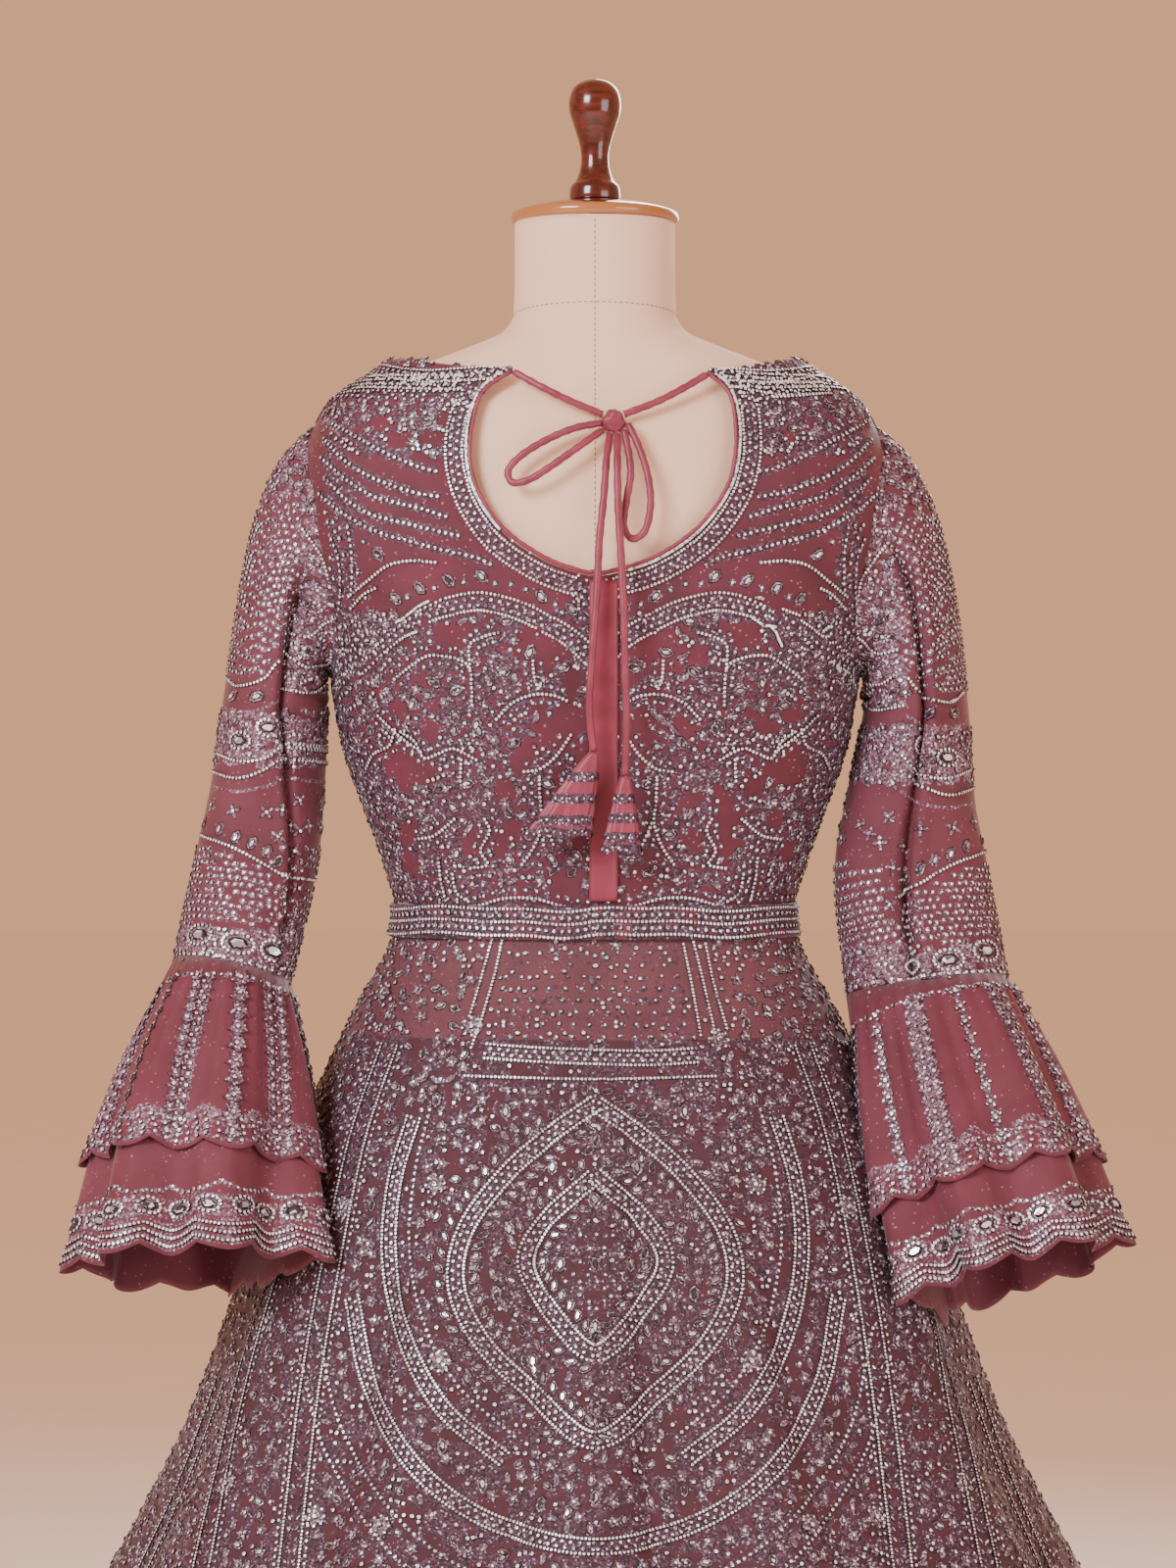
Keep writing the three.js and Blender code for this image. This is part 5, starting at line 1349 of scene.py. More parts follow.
# Embroidery of the back: a border along the neck and keyhole, chains sweeping from the armhole,
# an arch on each side, and below it vines of beads among thread flowers and mirrors.
BACK = {
    "neck": [(-156.6, 1466.8), (-139.4, 1461.8), (-119.4, 1459), (-94.4, 1459.7), (-60.8, 1461.8)],
    "chains": [
        [(-187.3, 1426.8), (-168.7, 1415.3), (-151.6, 1405.3), (-135.8, 1397.5), (-120.8, 1391.8),
         (-112.3, 1389.6)],
        [(-193.8, 1416.1), (-178.8, 1400.3), (-160.2, 1387.5), (-141.6, 1379.6), (-124.4, 1373.9),
         (-110.8, 1371.7)],
        [(-195.2, 1402.5), (-175.9, 1385.3), (-158.7, 1373.9), (-141.6, 1368.2), (-124.4, 1363.9),
         (-105.1, 1357.4)],
        [(-192.3, 1388.2), (-177.3, 1372.4), (-160.2, 1361), (-141.6, 1355.3), (-116.5, 1348.8),
         (-96.5, 1343.8)],
        [(-196.6, 1376.7), (-183.8, 1365.3), (-165.9, 1353.9), (-147.3, 1345.3), (-127.3, 1339.6),
         (-106.5, 1333.8), (-85.1, 1328.8), (-73.6, 1323.8)],
        [(-187.3, 1343.8), (-182.3, 1330.3), (-180.9, 1312.4), (-182.3, 1294.5)],
        [(-175.2, 1351.7), (-172.3, 1333.8), (-172.3, 1312.4), (-173.7, 1303.8)],
    ],
    "arch": [(-178, 1253.8), (-158, 1263), (-143.7, 1274.5), (-130.1, 1283.8), (-111.5, 1291.7),
             (-85.1, 1297.4), (-67.9, 1295.2), (-51.5, 1290.2), (-35.8, 1282.4), (-17.2, 1271.6),
             (2.1, 1253.8)],
    "sprays": [
        [(-174.5, 1303.1), (-160.2, 1313.8), (-145.9, 1323.8), (-130.1, 1326.7), (-112.3, 1325.3)],
        [(-173, 1294.5), (-163.7, 1303.8), (-155.2, 1308.1)],
    ],
    "mirrors": {
        "high": [(-153.7, 1331.7), (-140.9, 1300.2), (-123.7, 1307.4), (-103, 1312.4),
                 (-80.1, 1315.2), (-155.2, 1288.1), (-37.9, 1300.9), (-16.4, 1291.7),
                 (-2.1, 1276.6)],
        "slant": [(-98, 1235.2), (-83.7, 1210.9), (-62.2, 1283.8), (-45.8, 1261.6), (-39.3, 1240.9),
                  (-129.4, 1225.2), (-113.7, 1240.9), (-22.9, 1250.9), (-81.5, 1206.6),
                  (-57.2, 1198), (-65.1, 1248), (-98, 1119.3), (-47.9, 1133.6), (-33.6, 1169.4),
                  (-138, 1146.5), (-90.8, 1169.4)],
    },
    "stones": [(-132.3, 1300.9), (-113, 1307.4), (-92.2, 1311), (-70.1, 1310.2), (-59.3, 1309.5),
               (-48.6, 1306), (-27.9, 1295.2), (-10.7, 1285.9), (-168, 1319.5), (-163.7, 1341),
               (-158, 1348.1), (-166.6, 1283.8), (-162.3, 1301.7)],
    "vines": [
        [(-141.6, 1243.7), (-127.3, 1254.5), (-115.1, 1260.2), (-96.5, 1257.3), (-87.9, 1249.5),
         (-86.5, 1225.2)],
        [(-87.9, 1250.9), (-87.9, 1267.3), (-77.9, 1273.1), (-67.9, 1275.9)],
        [(-69.4, 1215.1), (-57.9, 1226.6), (-42.9, 1232.3), (-28.6, 1231.6), (-20, 1228)],
        [(-43.6, 1255.9), (-42.9, 1245.2), (-40, 1236.6)],
        [(-153.7, 1218), (-138.7, 1203.7), (-123, 1192.3)],
        [(-163, 1180.8), (-157.3, 1190.8), (-145.9, 1196.6), (-141.6, 1208)],
        [(-137.3, 1206.6), (-127.3, 1199.4), (-120.8, 1188), (-110.8, 1190.8), (-99.4, 1194.4),
         (-83.7, 1186.5)],
        [(-90.8, 1203.7), (-86.5, 1192.3)], [(-94.4, 1186.5), (-95.1, 1171.5)],
        [(-50, 1178), (-38.6, 1180.1), (-27.2, 1189.4), (-17.2, 1203.7)],
        [(-127.3, 1130.1), (-113.7, 1132.9), (-99.4, 1144.4)],
        [(-77.9, 1144.4), (-74.4, 1135.8), (-80.8, 1122.2), (-75.8, 1112.2), (-87.9, 1109.3)],
        [(-110.8, 1116.5), (-109.4, 1102.2), (-105.8, 1086.4)],
        [(-100.8, 1105), (-98, 1092.2), (-89.4, 1085.7)],
        [(-39.3, 1172.2), (-38.6, 1155.8), (-37.2, 1141.5), (-42.9, 1125.1), (-51.5, 1112.2)],
        [(-35.8, 1141.5), (-29.3, 1126.5)],
        [(-140.1, 1082.9), (-113.7, 1081.4), (-85.1, 1082.2), (-64.3, 1087.9), (-42.9, 1087.9),
         (-21.4, 1082.2), (-0.7, 1079.3)],
    ],
    "bare": [
        [(-182.3, 1405.3), (-98, 1373.2), (-98, 1368.2), (-182.3, 1396.8)],
        [(-72.9, 1323.1), (-33.6, 1312.4), (-62.2, 1318.1), (-98, 1330.3)],
        [(-108.7, 1280.2), (-87.2, 1283.8), (-94.4, 1265.9), (-119.4, 1263.8)],
        [(-33.6, 1215.9), (-12.2, 1215.9), (-15.7, 1198), (-37.2, 1194.4)],
        [(-151.6, 1194.4), (-133.7, 1194.4), (-112.3, 1176.5), (-130.1, 1165.8), (-148, 1176.5)],
        [(-25, 1165.8), (-5, 1165.8), (-5, 1140.8), (-22.9, 1151.5)],
        [(-29.3, 1105), (-12.2, 1105), (-15.7, 1090.7), (-30, 1094.3)],
        [(-90.8, 1133.6), (-80.1, 1133.6), (-83.7, 1119.3), (-92.2, 1120.8)],
        [(-47.9, 1276.6), (-22.9, 1263.8), (-33.6, 1248), (-55.1, 1265.9)],
    ],
}


def back_embroidery(name, points, normals, edge_rows, side, seed):
    work = Work(points, normals, seed, mirror=2.1 if side > 0 else None)
    columns = points.shape[1] - 1
    inner = 0 if side > 0 else columns
    rim = np.stack([np.arange(*edge_rows, dtype=float),
                    np.full(edge_rows[1] - edge_rows[0], float(inner))], -1)
    found, ahead = work.line(rim, 2.0)
    inward = np.cross(work.look(found)[1], ahead) * (1 if side < 0 else -1)
    middle = work.move(work.move(found, inward * 5.0), inward * 4.4)
    work.border(middle, 6.0)
    work.border(work.curve(BACK["neck"]), 5.2)
    for route in BACK["chains"]:
        work.chain(work.curve(route))
    work.border(work.curve(BACK["arch"]), 6.2)
    for route in BACK["sprays"] + BACK["vines"]:
        at = work.curve(route)
        work.beads(at, 1.55)
    for way, places in BACK["mirrors"].items():
        at = work.seen(places)
        work.ringed_mirrors(at, 1.57 if way == "high" else work.random.uniform(0, 3.1, len(at)),
                            4.6)
    work.ringed_stones(work.seen(BACK["stones"]), 3.4)
    for route in BACK["vines"]:
        at = work.curve(route)
        for aside in (-5.6, 5.6):
            work.row(at, "disc", 7.5, 3.0, high=0.5, aside=aside, shift=0.3)
            work.row(at, "stone", 7.5, 1.6, high=1.2, aside=aside, shift=0.3, lift=0.3)

    def covered(spots):
        seen_as = spots[:, [0, 2]]
        if side > 0:
            seen_as[:, 0] = 4.2 - seen_as[:, 0]
        behind = spots[:, 1] < 0
        bare = np.zeros(len(spots), dtype=bool)
        for corners in BACK["bare"]:
            bare |= inside(seen_as, corners)
        strip = np.abs(spots[:, 0]) > 189 + (spots[:, 2] - 1300) * 0.06
        return ~(bare & behind) & ~(strip & (spots[:, 2] > 1262))

    everywhere = work.lattice(1.8, 0.0, lambda p: ~covered(p))
    work.bare[work.paint(everywhere, 1.4)] = True
    work.spare(20, 3.4, 0.6, lambda p: (p[:, 2] > 1402) & (np.abs(p[:, 0]) < 160))
    work.spare(17, 3.6, 0.4,
               lambda p: (p[:, 2] < 1288) & (p[:, 2] > 1110) & (np.abs(p[:, 0]) < 140))
    work.fill(0.95, lambda p: covered(p) & (p[:, 2] > 1402), large=11.5, stones=4.6, leafy=0.75)
    work.fill(0.98, lambda p: covered(p) & (p[:, 2] < 1290), large=12, stones=4.6)
    work.fill(0.9,
              lambda p: covered(p) & (p[:, 2] > 1290) & (p[:, 2] < 1402) & (np.abs(p[:, 0]) > 172))
    return work.sew(name)


for half, side in (("left", -1), ("right", 1)):
    points, normals = back_cloth[half]
    edge_rows = (ROWS["centre"] - 1, ROWS["centre"] + ROWS["keyhole"] - 2)
    back_embroidery("embroidery_back_" + half, points, normals, edge_rows, side, 11 + side)

for number, (angle, z) in enumerate(halves):
    points, normals = body_point(angle, z), body_normal(angle, z)
    turn = 1 if number else -1
    work = Work(points[:, ::turn], normals[:, ::turn], 21 + number)
    neck_column = 0.0 if number else float(points.shape[1] - 1)
    rim = np.stack([np.arange(front_rows["centre"] - 1, len(points), dtype=float),
                    np.full(len(points) - front_rows["centre"] + 1, neck_column)], -1)
    found, ahead = work.line(rim, 2.0)
    inward = np.cross(work.look(found)[1], ahead) * (-1 if number else 1)
    work.border(work.move(found, inward * 9.4), 6.0)
    work.fill(0.85, large=20.0, stones=8.5, small=True)
    work.sew("embroidery_front_" + ("left" if number else "right"))


# ---- Sleeves -----------------------------------------------------------------------------------
# Three-quarter sleeves of sheer net, gathered a little at the underarm and pressed flat down the
# inner side of the back, where a crease runs from the armhole to the cuff.
SLEEVE_LEFT = table("x y z across deep", [
    (-233, -3, 1222, 38, 50), (-239, -6, 1165, 41, 50), (-246, -16, 1108, 43.5, 49),
    (-261, -34, 1034, 43, 48),
])
SLEEVE_RIGHT = table("x y z across deep", [
    (234, -3, 1220, 38, 49), (231, -6, 1160, 46, 46), (229, -16, 1106, 55, 43),
    (239, -34, 1024, 58, 40),
])
ARMHOLE_GAP, UNDERARM_CLEAR = 1.2, 3.2
ROUND, SLEEVE_REACH = 120, 44  # points round a sleeve, and about its half width


def unit(vectors):
    return vectors / np.maximum(np.linalg.norm(vectors, axis=-1, keepdims=True), 1e-9)


# One ring of a sleeve or flounce, square to its centre line, from the outer side round the back.
def sleeve_ring(rows, t, side, turns, extra=0.0):
    numbered = [{**row, "number": i} for i, row in enumerate(rows)]
    value = {name: column(numbered, name, "number") for name in ("x", "y", "z", "across", "deep")}
    last = len(rows) - 1

    def centre(where):
        return np.array([float(value[name](where)) for name in ("x", "y", "z")])

    down = unit(centre(min(t + 0.05, last)) - centre(max(t - 0.05, 0)))
    outwards = unit(np.cross((0, -1, 0), down) * side)
    behind = unit(np.cross(down, outwards) * side)
    across, deep = value["across"](t) + extra, value["deep"](t) + extra
    sideways = (across * np.cos(turns))[:, None] * outwards
    backwards = (deep * np.sin(turns))[:, None] * behind
    return centre(t) + sideways + backwards


def armhole_ring(side, turns):
    share = np.abs(turns / math.pi - 1)
    behind = turns <= math.pi
    spots = [armhole_spot(share, True), armhole_spot(share, False)]
    angle, z = (side * np.where(behind, spots[0][0], spots[1][0]),
                np.where(behind, spots[0][1], spots[1][1]))
    points, normals = body_point(angle, z), body_normal(angle, z)
    along = np.roll(points, -4, 0) - np.roll(points, 4, 0)
    outwards = unit(np.cross(along, normals)) * -side
    return points + outwards * ARMHOLE_GAP, outwards


# Moves points straight away from the axis until they are clear of the garment's outer form.
def clear_of_body(points, clear):
    angle = np.arctan2(points[..., 0], -points[..., 1])
    surface = body_point(angle, points[..., 2])
    needed = np.hypot(surface[..., 0], surface[..., 1]) + clear
    reach = np.hypot(points[..., 0], points[..., 1])
    grow = np.maximum(1, needed / reach)[..., None]
    return np.concatenate([points[..., :2] * grow, points[..., 2:]], axis=-1)


CREASES = {
    "left": {"turns": (1.70, 1.78, 2.05, 2.5), "deep": 12.0},
    "right": {"turns": (1.45, 1.50, 1.62, 1.78), "deep": 12.0},
}
# Short folds at the underarm: where down the sleeve, where round it, and how deep.
GATHERS = table("row turn deep", [
    (0.62, 2.7, 2.4), (0.78, 2.85, -2.2), (0.92, 2.6, 2.0), (0.7, 3.4, 2.0),
])


def sleeve_grid(rows, side, crease):
    turns = full_turn(ROUND)
    start, outwards = armhole_ring(side, turns)
    down = unit(sleeve_ring(rows, 1, side, turns)[0] - sleeve_ring(rows, 0, side, turns)[0])
    first = sleeve_ring(rows, 0, side, turns)
    span = np.linalg.norm(first - start, axis=1)[:, None]
    leave = start + unit(outwards + np.array((1.2 * side, 0, 0))) * np.maximum(0.27 * span, 12)
    enter = first - down * span * 0.36
    grid, place = [], []
    for t in np.linspace(0, 1, 46)[:-1]:
        ring = ((1 - t) ** 3 * start + 3 * t * (1 - t) ** 2 * leave + 3 * t * t * (1 - t) * enter
                + t ** 3 * first)
        grid.append(clear_of_body(ring, UNDERARM_CLEAR * min(1, t / 0.4)) if t else ring)
        place.append(t)
    for t in np.linspace(0, 3, 64):
        grid.append(sleeve_ring(rows, t, side, turns))
        place.append(1 + t)
    grid, place = np.array(grid), np.array(place)
    normals = grid_normal(grid, True) * side
    line = np.interp(place, (0.3, 1, 2, 4), crease["turns"])[:, None]
    fold = np.clip((place - 0.12) / 0.25, 0, 1)[:, None]
    away = (turns[None, :] - line) * SLEEVE_REACH
    sink = -crease["deep"] * np.exp(-(away / 2.8) ** 2) + 2.4 * np.exp(-((away + 7) / 5) ** 2)
    moved = sink * fold
    for fold_at in GATHERS:
        moved = moved + fold_at["deep"] * np.exp(-((place[:, None] - fold_at["row"]) / 0.05) ** 2
                                                 - ((turns[None, :] - fold_at["turn"]) / 0.5) ** 2)
    ripple = (0.9 * np.sin(3 * turns[None, :] + 2.2 * place[:, None])
              * np.clip(place[:, None] - 0.6, 0, 1))
    grid = grid + normals * (moved + ripple)[..., None]
    return grid, grid_normal(grid, True) * side


sleeve_net = net("sleeve_net", (0.20, 0.040, 0.072), (0.14, 0.026, 0.046), 0.74, 0.01)
SLEEVE_CUT = {"left": (0.31, 0.42, 0.0967), "right": (0.32, 0.44, 0.1021)}
sleeves = {}
for name, rows, side in (("left", SLEEVE_LEFT, -1), ("right", SLEEVE_RIGHT, 1)):
    points, normals = sleeve_grid(rows, side, CREASES[name])
    if side < 0:
        points, normals = points[:, ::-1], normals[:, ::-1]
    sleeves[name] = points, normals
    made = cloth("sleeve_" + name + "_net", points, normals, [sleeve_net], "net",
                 ["sleeve_" + name], ring=True,
                 every=(3, 1))
    wide, long, area = SLEEVE_CUT[name]

# Embroidery of a sleeve, from the shoulder down: stones in a close lattice, a scallop of mirrors,
# small sprigs on bare net, a second lattice, and bright ovals over the cuff.
SLEEVE = {
    "beads": [
        [(-266.7, 1246.6), (-256, 1239.5), (-236.7, 1244.5), (-227.4, 1256.6)],
        [(-272.4, 1190.8), (-253.8, 1185.1), (-233.8, 1188.7), (-223.1, 1201.6)],
        [(-276.7, 1178), (-256, 1173), (-236.7, 1179.4), (-222.4, 1190.1)],
        [(-284.6, 1132.2), (-258.8, 1123.6), (-236.7, 1111.5), (-218.1, 1100)],
        [(-210.9, 1353.9), (-198.1, 1336.7), (-184.5, 1316.7)],
        [(-219.5, 1277.3), (-206.6, 1275.2), (-194.5, 1285.2), (-179.5, 1287.4)],
        [(-221.6, 1263), (-206.6, 1253), (-179.5, 1263)],
        [(-223.8, 1237.3), (-206.6, 1234.5), (-196.6, 1240.9)],
    ],
    "fine": [
        [(-269.6, 1225.2), (-255.3, 1220.9), (-239.5, 1222.3), (-226.7, 1229.4)],
        [(-275.3, 1167.2), (-255.3, 1163.7), (-233.8, 1168), (-222.4, 1175.1)],
    ],
    "ovals": [(-254.5, 1200.1), (-233.8, 1209.4)],
    "cuff_ovals": [(-281.7, 1061.4), (-253.8, 1055.7), (-229.5, 1050)],
    "mirrors": [(-261, 1232.3), (-242.4, 1231.6)],
    "leaves": [(-281.7, 1140.1), (-268.8, 1136.5), (-256.7, 1130.8), (-245.2, 1126.5),
               (-234.5, 1120.8), (-226.7, 1113.6)],
    "sprigs": [(-258.8, 1149.4), (-235.2, 1148.7), (-226.7, 1131.5), (-275.3, 1153.7),
               (-209.5, 1208.7), (-216.6, 1181.5), (-213.1, 1157.2), (-206.6, 1138.6),
               (-213.1, 1094.3), (-208.1, 1190.8), (-215.2, 1120.8)],
    "cuff": [
        [(-298.2, 1050), (-262.4, 1043.5), (-219.5, 1035.7)],
        [(-301, 1042.8), (-262.4, 1035), (-221.6, 1027.1)],
    ],
}


def sprigs(work, at, size=3.4):
    angle = work.random.uniform(0, 1.5, len(at))
    for turn in (0, 1, 2, 3):
        ahead = work.turned_by(at, angle + turn * math.pi / 2)
        work.add("leaf", work.move(at, ahead * size), ahead, size * 0.95, size * 0.55, 0.6)
    work.add("stone", at, work.turned_by(at, angle), 1.9, high=1.2, lift=0.3)


def sleeve_embroidery(name, side, seed):
    points, normals = sleeves[name]
    work = Work(points, normals, seed, ring=True, mirror=-1.05 if side > 0 else None)
    lower = 12.0 if side > 0 else 0.0

    def moved(places):
        return np.array(places, dtype=float) - (0, lower)

    for facing in (-1, 1):
        for route in SLEEVE["beads"]:
            work.beads(work.curve(moved(route), facing), 1.5)
        for route in SLEEVE["fine"]:
            work.row(work.curve(moved(route), facing), "disc", 3.2, 1.8, high=0.5)
        for route in SLEEVE["cuff"]:
            at = work.curve(moved(route), facing)
            work.row(at, "disc", 3.4, 2.2, high=0.4)
            work.row(at, "stone", 6.0, 1.7, high=1.2, lift=0.2)
        for places, long in ((SLEEVE["ovals"], 9.4), (SLEEVE["cuff_ovals"], 11.4)):
            at = work.seen(moved(places), facing)
            work.bright_ovals(at, np.zeros(len(at)), long)
        at = work.seen(moved(SLEEVE["mirrors"]), facing)
        work.ringed_mirrors(at, 0.4, 5.0)
        at = work.seen(moved(SLEEVE["leaves"]), facing)
        work.ringed_mirrors(at, 1.2, 4.2)
        sprigs(work, work.seen(moved(SLEEVE["sprigs"]), facing))

    def outer(p):
        return np.abs(p[:, 0]) > 218 + (1300 - p[:, 2]) * 0.10

    def zone(low, high, beyond=None):
        return lambda p: (p[:, 2] + lower > low) & (p[:, 2] + lower < high) & (
            True if beyond is None else outer(p) == beyond)

    for low, high, beyond, share in ((1248, 1376, True, 1.0), (1068, 1124, None, 0.96)):
        at = work.lattice(5.9, 0.12, zone(low, high, beyond))
        at = at[work.free(at, 1.4) & (work.random.random(len(at)) < share)]
        work.add("disc", at, (0, 0, 1.0), 2.9, high=0.4)
        work.add("stone", at, (0, 0, 1.0), 1.75, high=1.3, lift=0.1)
    work.fill(0.92, zone(1236, 1376, False), large=11, stones=5.6, leafy=0.4)
    work.fill(0.75, zone(1376, 1440), large=11, stones=5.6, leafy=0.4)
    work.fill(0.9, zone(1182, 1222), large=10, stones=5.2)
    at = work.lattice(13, 0.4, zone(1128, 1182, False))
    sprigs(work, at[work.free(at, 4.5) & (work.random.random(len(at)) < 0.6)], 3.0)
    work.fill(0.95, zone(1030, 1066), large=12, stones=4.6)
    return work.sew("embroidery_sleeve_" + name, sewn=SEWN_PALE)


sleeve_embroidery("left", -1, 71)
sleeve_embroidery("right", 1, 72)


# ---- Flounces ----------------------------------------------------------------------------------
# Two tiers of gathered net at each cuff. Both are sewn to the cuff, the lower hangs out below the
# upper, and each hem is cut in scallops and bound with its own curling edge.
FLOUNCE_LEFT = table("x y z across deep wave", [
    (-264, -40, 1014, 49, 51, 1), (-269, -62, 962, 67, 60, 4), (-274, -88, 898, 84, 70, 7),
])
FLOUNCE_RIGHT = table("x y z across deep wave", [
    (244, -40, 1004, 61, 44, 1), (257, -62, 952, 72, 54, 4), (276, -88, 884, 82, 66, 7),
])
LOWER_HEM_LEFT = {"x": -274, "y": -110, "z": 832, "across": 89, "deep": 74, "wave": 12}
LOWER_HEM_RIGHT = {"x": 293, "y": -108, "z": 826, "across": 78, "deep": 70, "wave": 12}
TIERS_APART, WAVES, SCALLOP, FLOUNCE_CLEAR = 6, 7, 7, 4
CUFF_GAP, LOWER_INSET, FLOUNCE_ROUND = 1.1, 1.8, 168


def flounce_grid(sleeve_rows, rows, side, inset, clear):
    turns = full_turn(FLOUNCE_ROUND)
    before, cuff_row = sleeve_rows[-2], dict(sleeve_rows[-1])
    cuff_row["across"] -= inset
    cuff_row["deep"] -= inset
    down = unit(np.array([cuff_row[k] - before[k] for k in "xyz"], dtype=float))
    seam = sleeve_ring([before, cuff_row], 1, side, turns) + down * CUFF_GAP
    wave = column([{**row, "number": i} for i, row in enumerate(rows)], "wave", "number")
    last = len(rows) - 1
    grid = [seam]
    for share in np.linspace(0, 1, 40):
        t = share * last
        curl = 1.6 * np.clip((share - 0.93) / 0.07, 0, 1) * np.sin(23 * turns + 1)
        pleat = 0.9 * np.sin(31 * turns + 2 * np.sin(turns)) * (1 - share) ** 0.5
        ring = sleeve_ring(rows, t, side, turns, wave(t) * np.cos(WAVES * turns) + pleat + curl)
        ring[:, 2] -= SCALLOP * share ** 4 * np.abs(np.cos(WAVES * turns))
        grid.append(clear_of_body(ring, clear))
    grid = np.array(grid)
    return grid, grid_normal(grid, True) * side


flounce_net = net("flounce_net", (0.20, 0.036, 0.070), (0.14, 0.022, 0.042), 0.84, 0.01)
FLOUNCE_CUT = {"upper_left": (0.49, 0.22, 0.0638), "lower_left": (0.56, 0.285, 0.0973),
               "upper_right": (0.485, 0.216, 0.0663), "lower_right": (0.53, 0.28, 0.0940)}
flounces = {}
for name, arm, upper, hem, side in (("left", SLEEVE_LEFT, FLOUNCE_LEFT, LOWER_HEM_LEFT, -1),
                                    ("right", SLEEVE_RIGHT, FLOUNCE_RIGHT, LOWER_HEM_RIGHT, 1)):
    closer = [{**row, "across": row["across"] - TIERS_APART, "deep": row["deep"] - TIERS_APART}
              for row in upper]
    for tier, rows, inset, clear in (
            ("upper", upper, 0, FLOUNCE_CLEAR),
            ("lower", closer + [hem], LOWER_INSET, FLOUNCE_CLEAR + TIERS_APART)):
        points, normals = flounce_grid(arm, rows, side, inset, clear)
        if side < 0:
            points, normals = points[:, ::-1], normals[:, ::-1]
        flounces[tier + "_" + name] = points, normals
        made = cloth("flounce_" + tier + "_" + name + "_net", points, normals, [flounce_net], "net",
                     ["flounce_" + tier + "_" + name], ring=True, every=(3, 1))
        wide, long, area = FLOUNCE_CUT[tier + "_" + name]

# Embroidery of the flounces. The upper tier has columns of small flowers, single and double by
# turns, fanning from the cuff to a speckled scalloped border. The lower tier has bright ovals over
# three rows of beads.
COLUMN_COUNT, OVAL_COUNT = 12, 24


def flounce_upper_work(name, seed):
    work = Work(*flounces["upper_" + name], seed, ring=True)
    rows = work.grid.shape[0]
    for number in range(COLUMN_COUNT):
        j = (number + 0.5) * FLOUNCE_ROUND / COLUMN_COUNT
        at = between((1.5, j), (rows - 4, j), 60)
        if number % 2:
            work.row(at, "speck", 5.0, 6.4, high=0.2)
            for aside in (-5.2, 5.2):
                work.row(at, "flower", 8.6, 6.2, high=0.5, aside=aside, lift=0.1)
                work.row(at, "stone", 8.6, 2.0, high=1.2, aside=aside, lift=0.5)
            work.row(at, "stone", 8.6, 1.7, high=1.1, shift=0.5, lift=0.4)
        else:
            work.row(at, "leaf", 6.5, 4.6, 3.8, 0.3)
            work.row(at, "flower", 13, 8.6, high=0.6)
            for turn in (0.4, 1.97, 3.54, 5.11):
                side = work.move(work.line(at, 13)[0],
                                 work.turned_by(work.line(at, 13)[0], turn) * 4.2)
                work.add("stone", side, (0, 0, 1.0), 1.4, high=1.1, lift=0.4)
            work.row(at, "stone", 13, 2.1, high=1.3, lift=0.6)
    hem = rows - 1
    for number, row in enumerate((hem - 1.3, hem - 2.5, hem - 3.8, hem - 5.1)):
        at = between((row, 0), (row, FLOUNCE_ROUND), 400)
        work.row(at, "speck", 4.0, 3.0, high=0.3, shift=0.5 * (number % 2))
        work.row(at, "stone", 8.6, 1.9, high=1.2, lift=0.2, shift=(0.0, 0.5)[number % 2])
    scallops = between((hem - 7.0, 0), (hem - 7.0, FLOUNCE_ROUND), 400)
    scallops[:, 0] += 1.6 * np.abs(np.sin(scallops[:, 1] / FLOUNCE_ROUND * math.pi * COLUMN_COUNT))
    work.row(scallops, "disc", 4.4, 3.4, high=0.4)
    crown = between((1.0, 0), (1.0, FLOUNCE_ROUND), 400)
    work.row(crown, "disc", 4.0, 2.4, high=0.4)
    work.row(crown, "stone", 6.0, 1.6, high=1.2, lift=0.2)
    at = work.lattice(13, 0.45)
    work.add("sequin", at[work.free(at, 1.0)], (0, 0, 1.0), 0.32, high=0.3)
    work.sew("embroidery_flounce_upper_" + name, sewn=SEWN_PALE)


def flounce_lower_work(name, seed):
    work = Work(*flounces["lower_" + name], seed, ring=True)
    hem = work.grid.shape[0] - 1
    for row, size in ((hem - 1.0, 1.7), (hem - 2.0, 1.6), (hem - 3.0, 1.5)):
        work.beads(between((row, 0), (row, FLOUNCE_ROUND), 400), size)
    for row in (hem - 0.7, hem - 1.5, hem - 2.5, hem - 3.6):
        at = between((row, 0), (row, FLOUNCE_ROUND), 400)
        work.row(at, "speck", 3.2, 2.0, high=0.3)
    step = FLOUNCE_ROUND / OVAL_COUNT
    at = np.array([[hem - 5.4, (number + 0.5) * step] for number in range(OVAL_COUNT)])
    work.bright_ovals(at, np.zeros(OVAL_COUNT), 8.8)
    at = between((hem - 8.4, 0), (hem - 8.4, FLOUNCE_ROUND), 400)
    at[:, 0] += 1.2 * np.abs(np.sin(at[:, 1] / FLOUNCE_ROUND * math.pi * 14))
    work.row(at, "disc", 3.4, 2.2, high=0.4)
    work.row(at, "stone", 5.4, 1.6, high=1.1, lift=0.3)
    for row in (hem - 4.4, hem - 5.4, hem - 6.4):
        work.row(between((row, 0), (row, FLOUNCE_ROUND), 400), "speck", 5.0, 3.6, high=0.2)
    work.sew("embroidery_flounce_lower_" + name, sewn=SEWN_PALE)


for number, name in enumerate(("left", "right")):
    flounce_upper_work(name, 81 + number)
    flounce_lower_work(name, 83 + number)


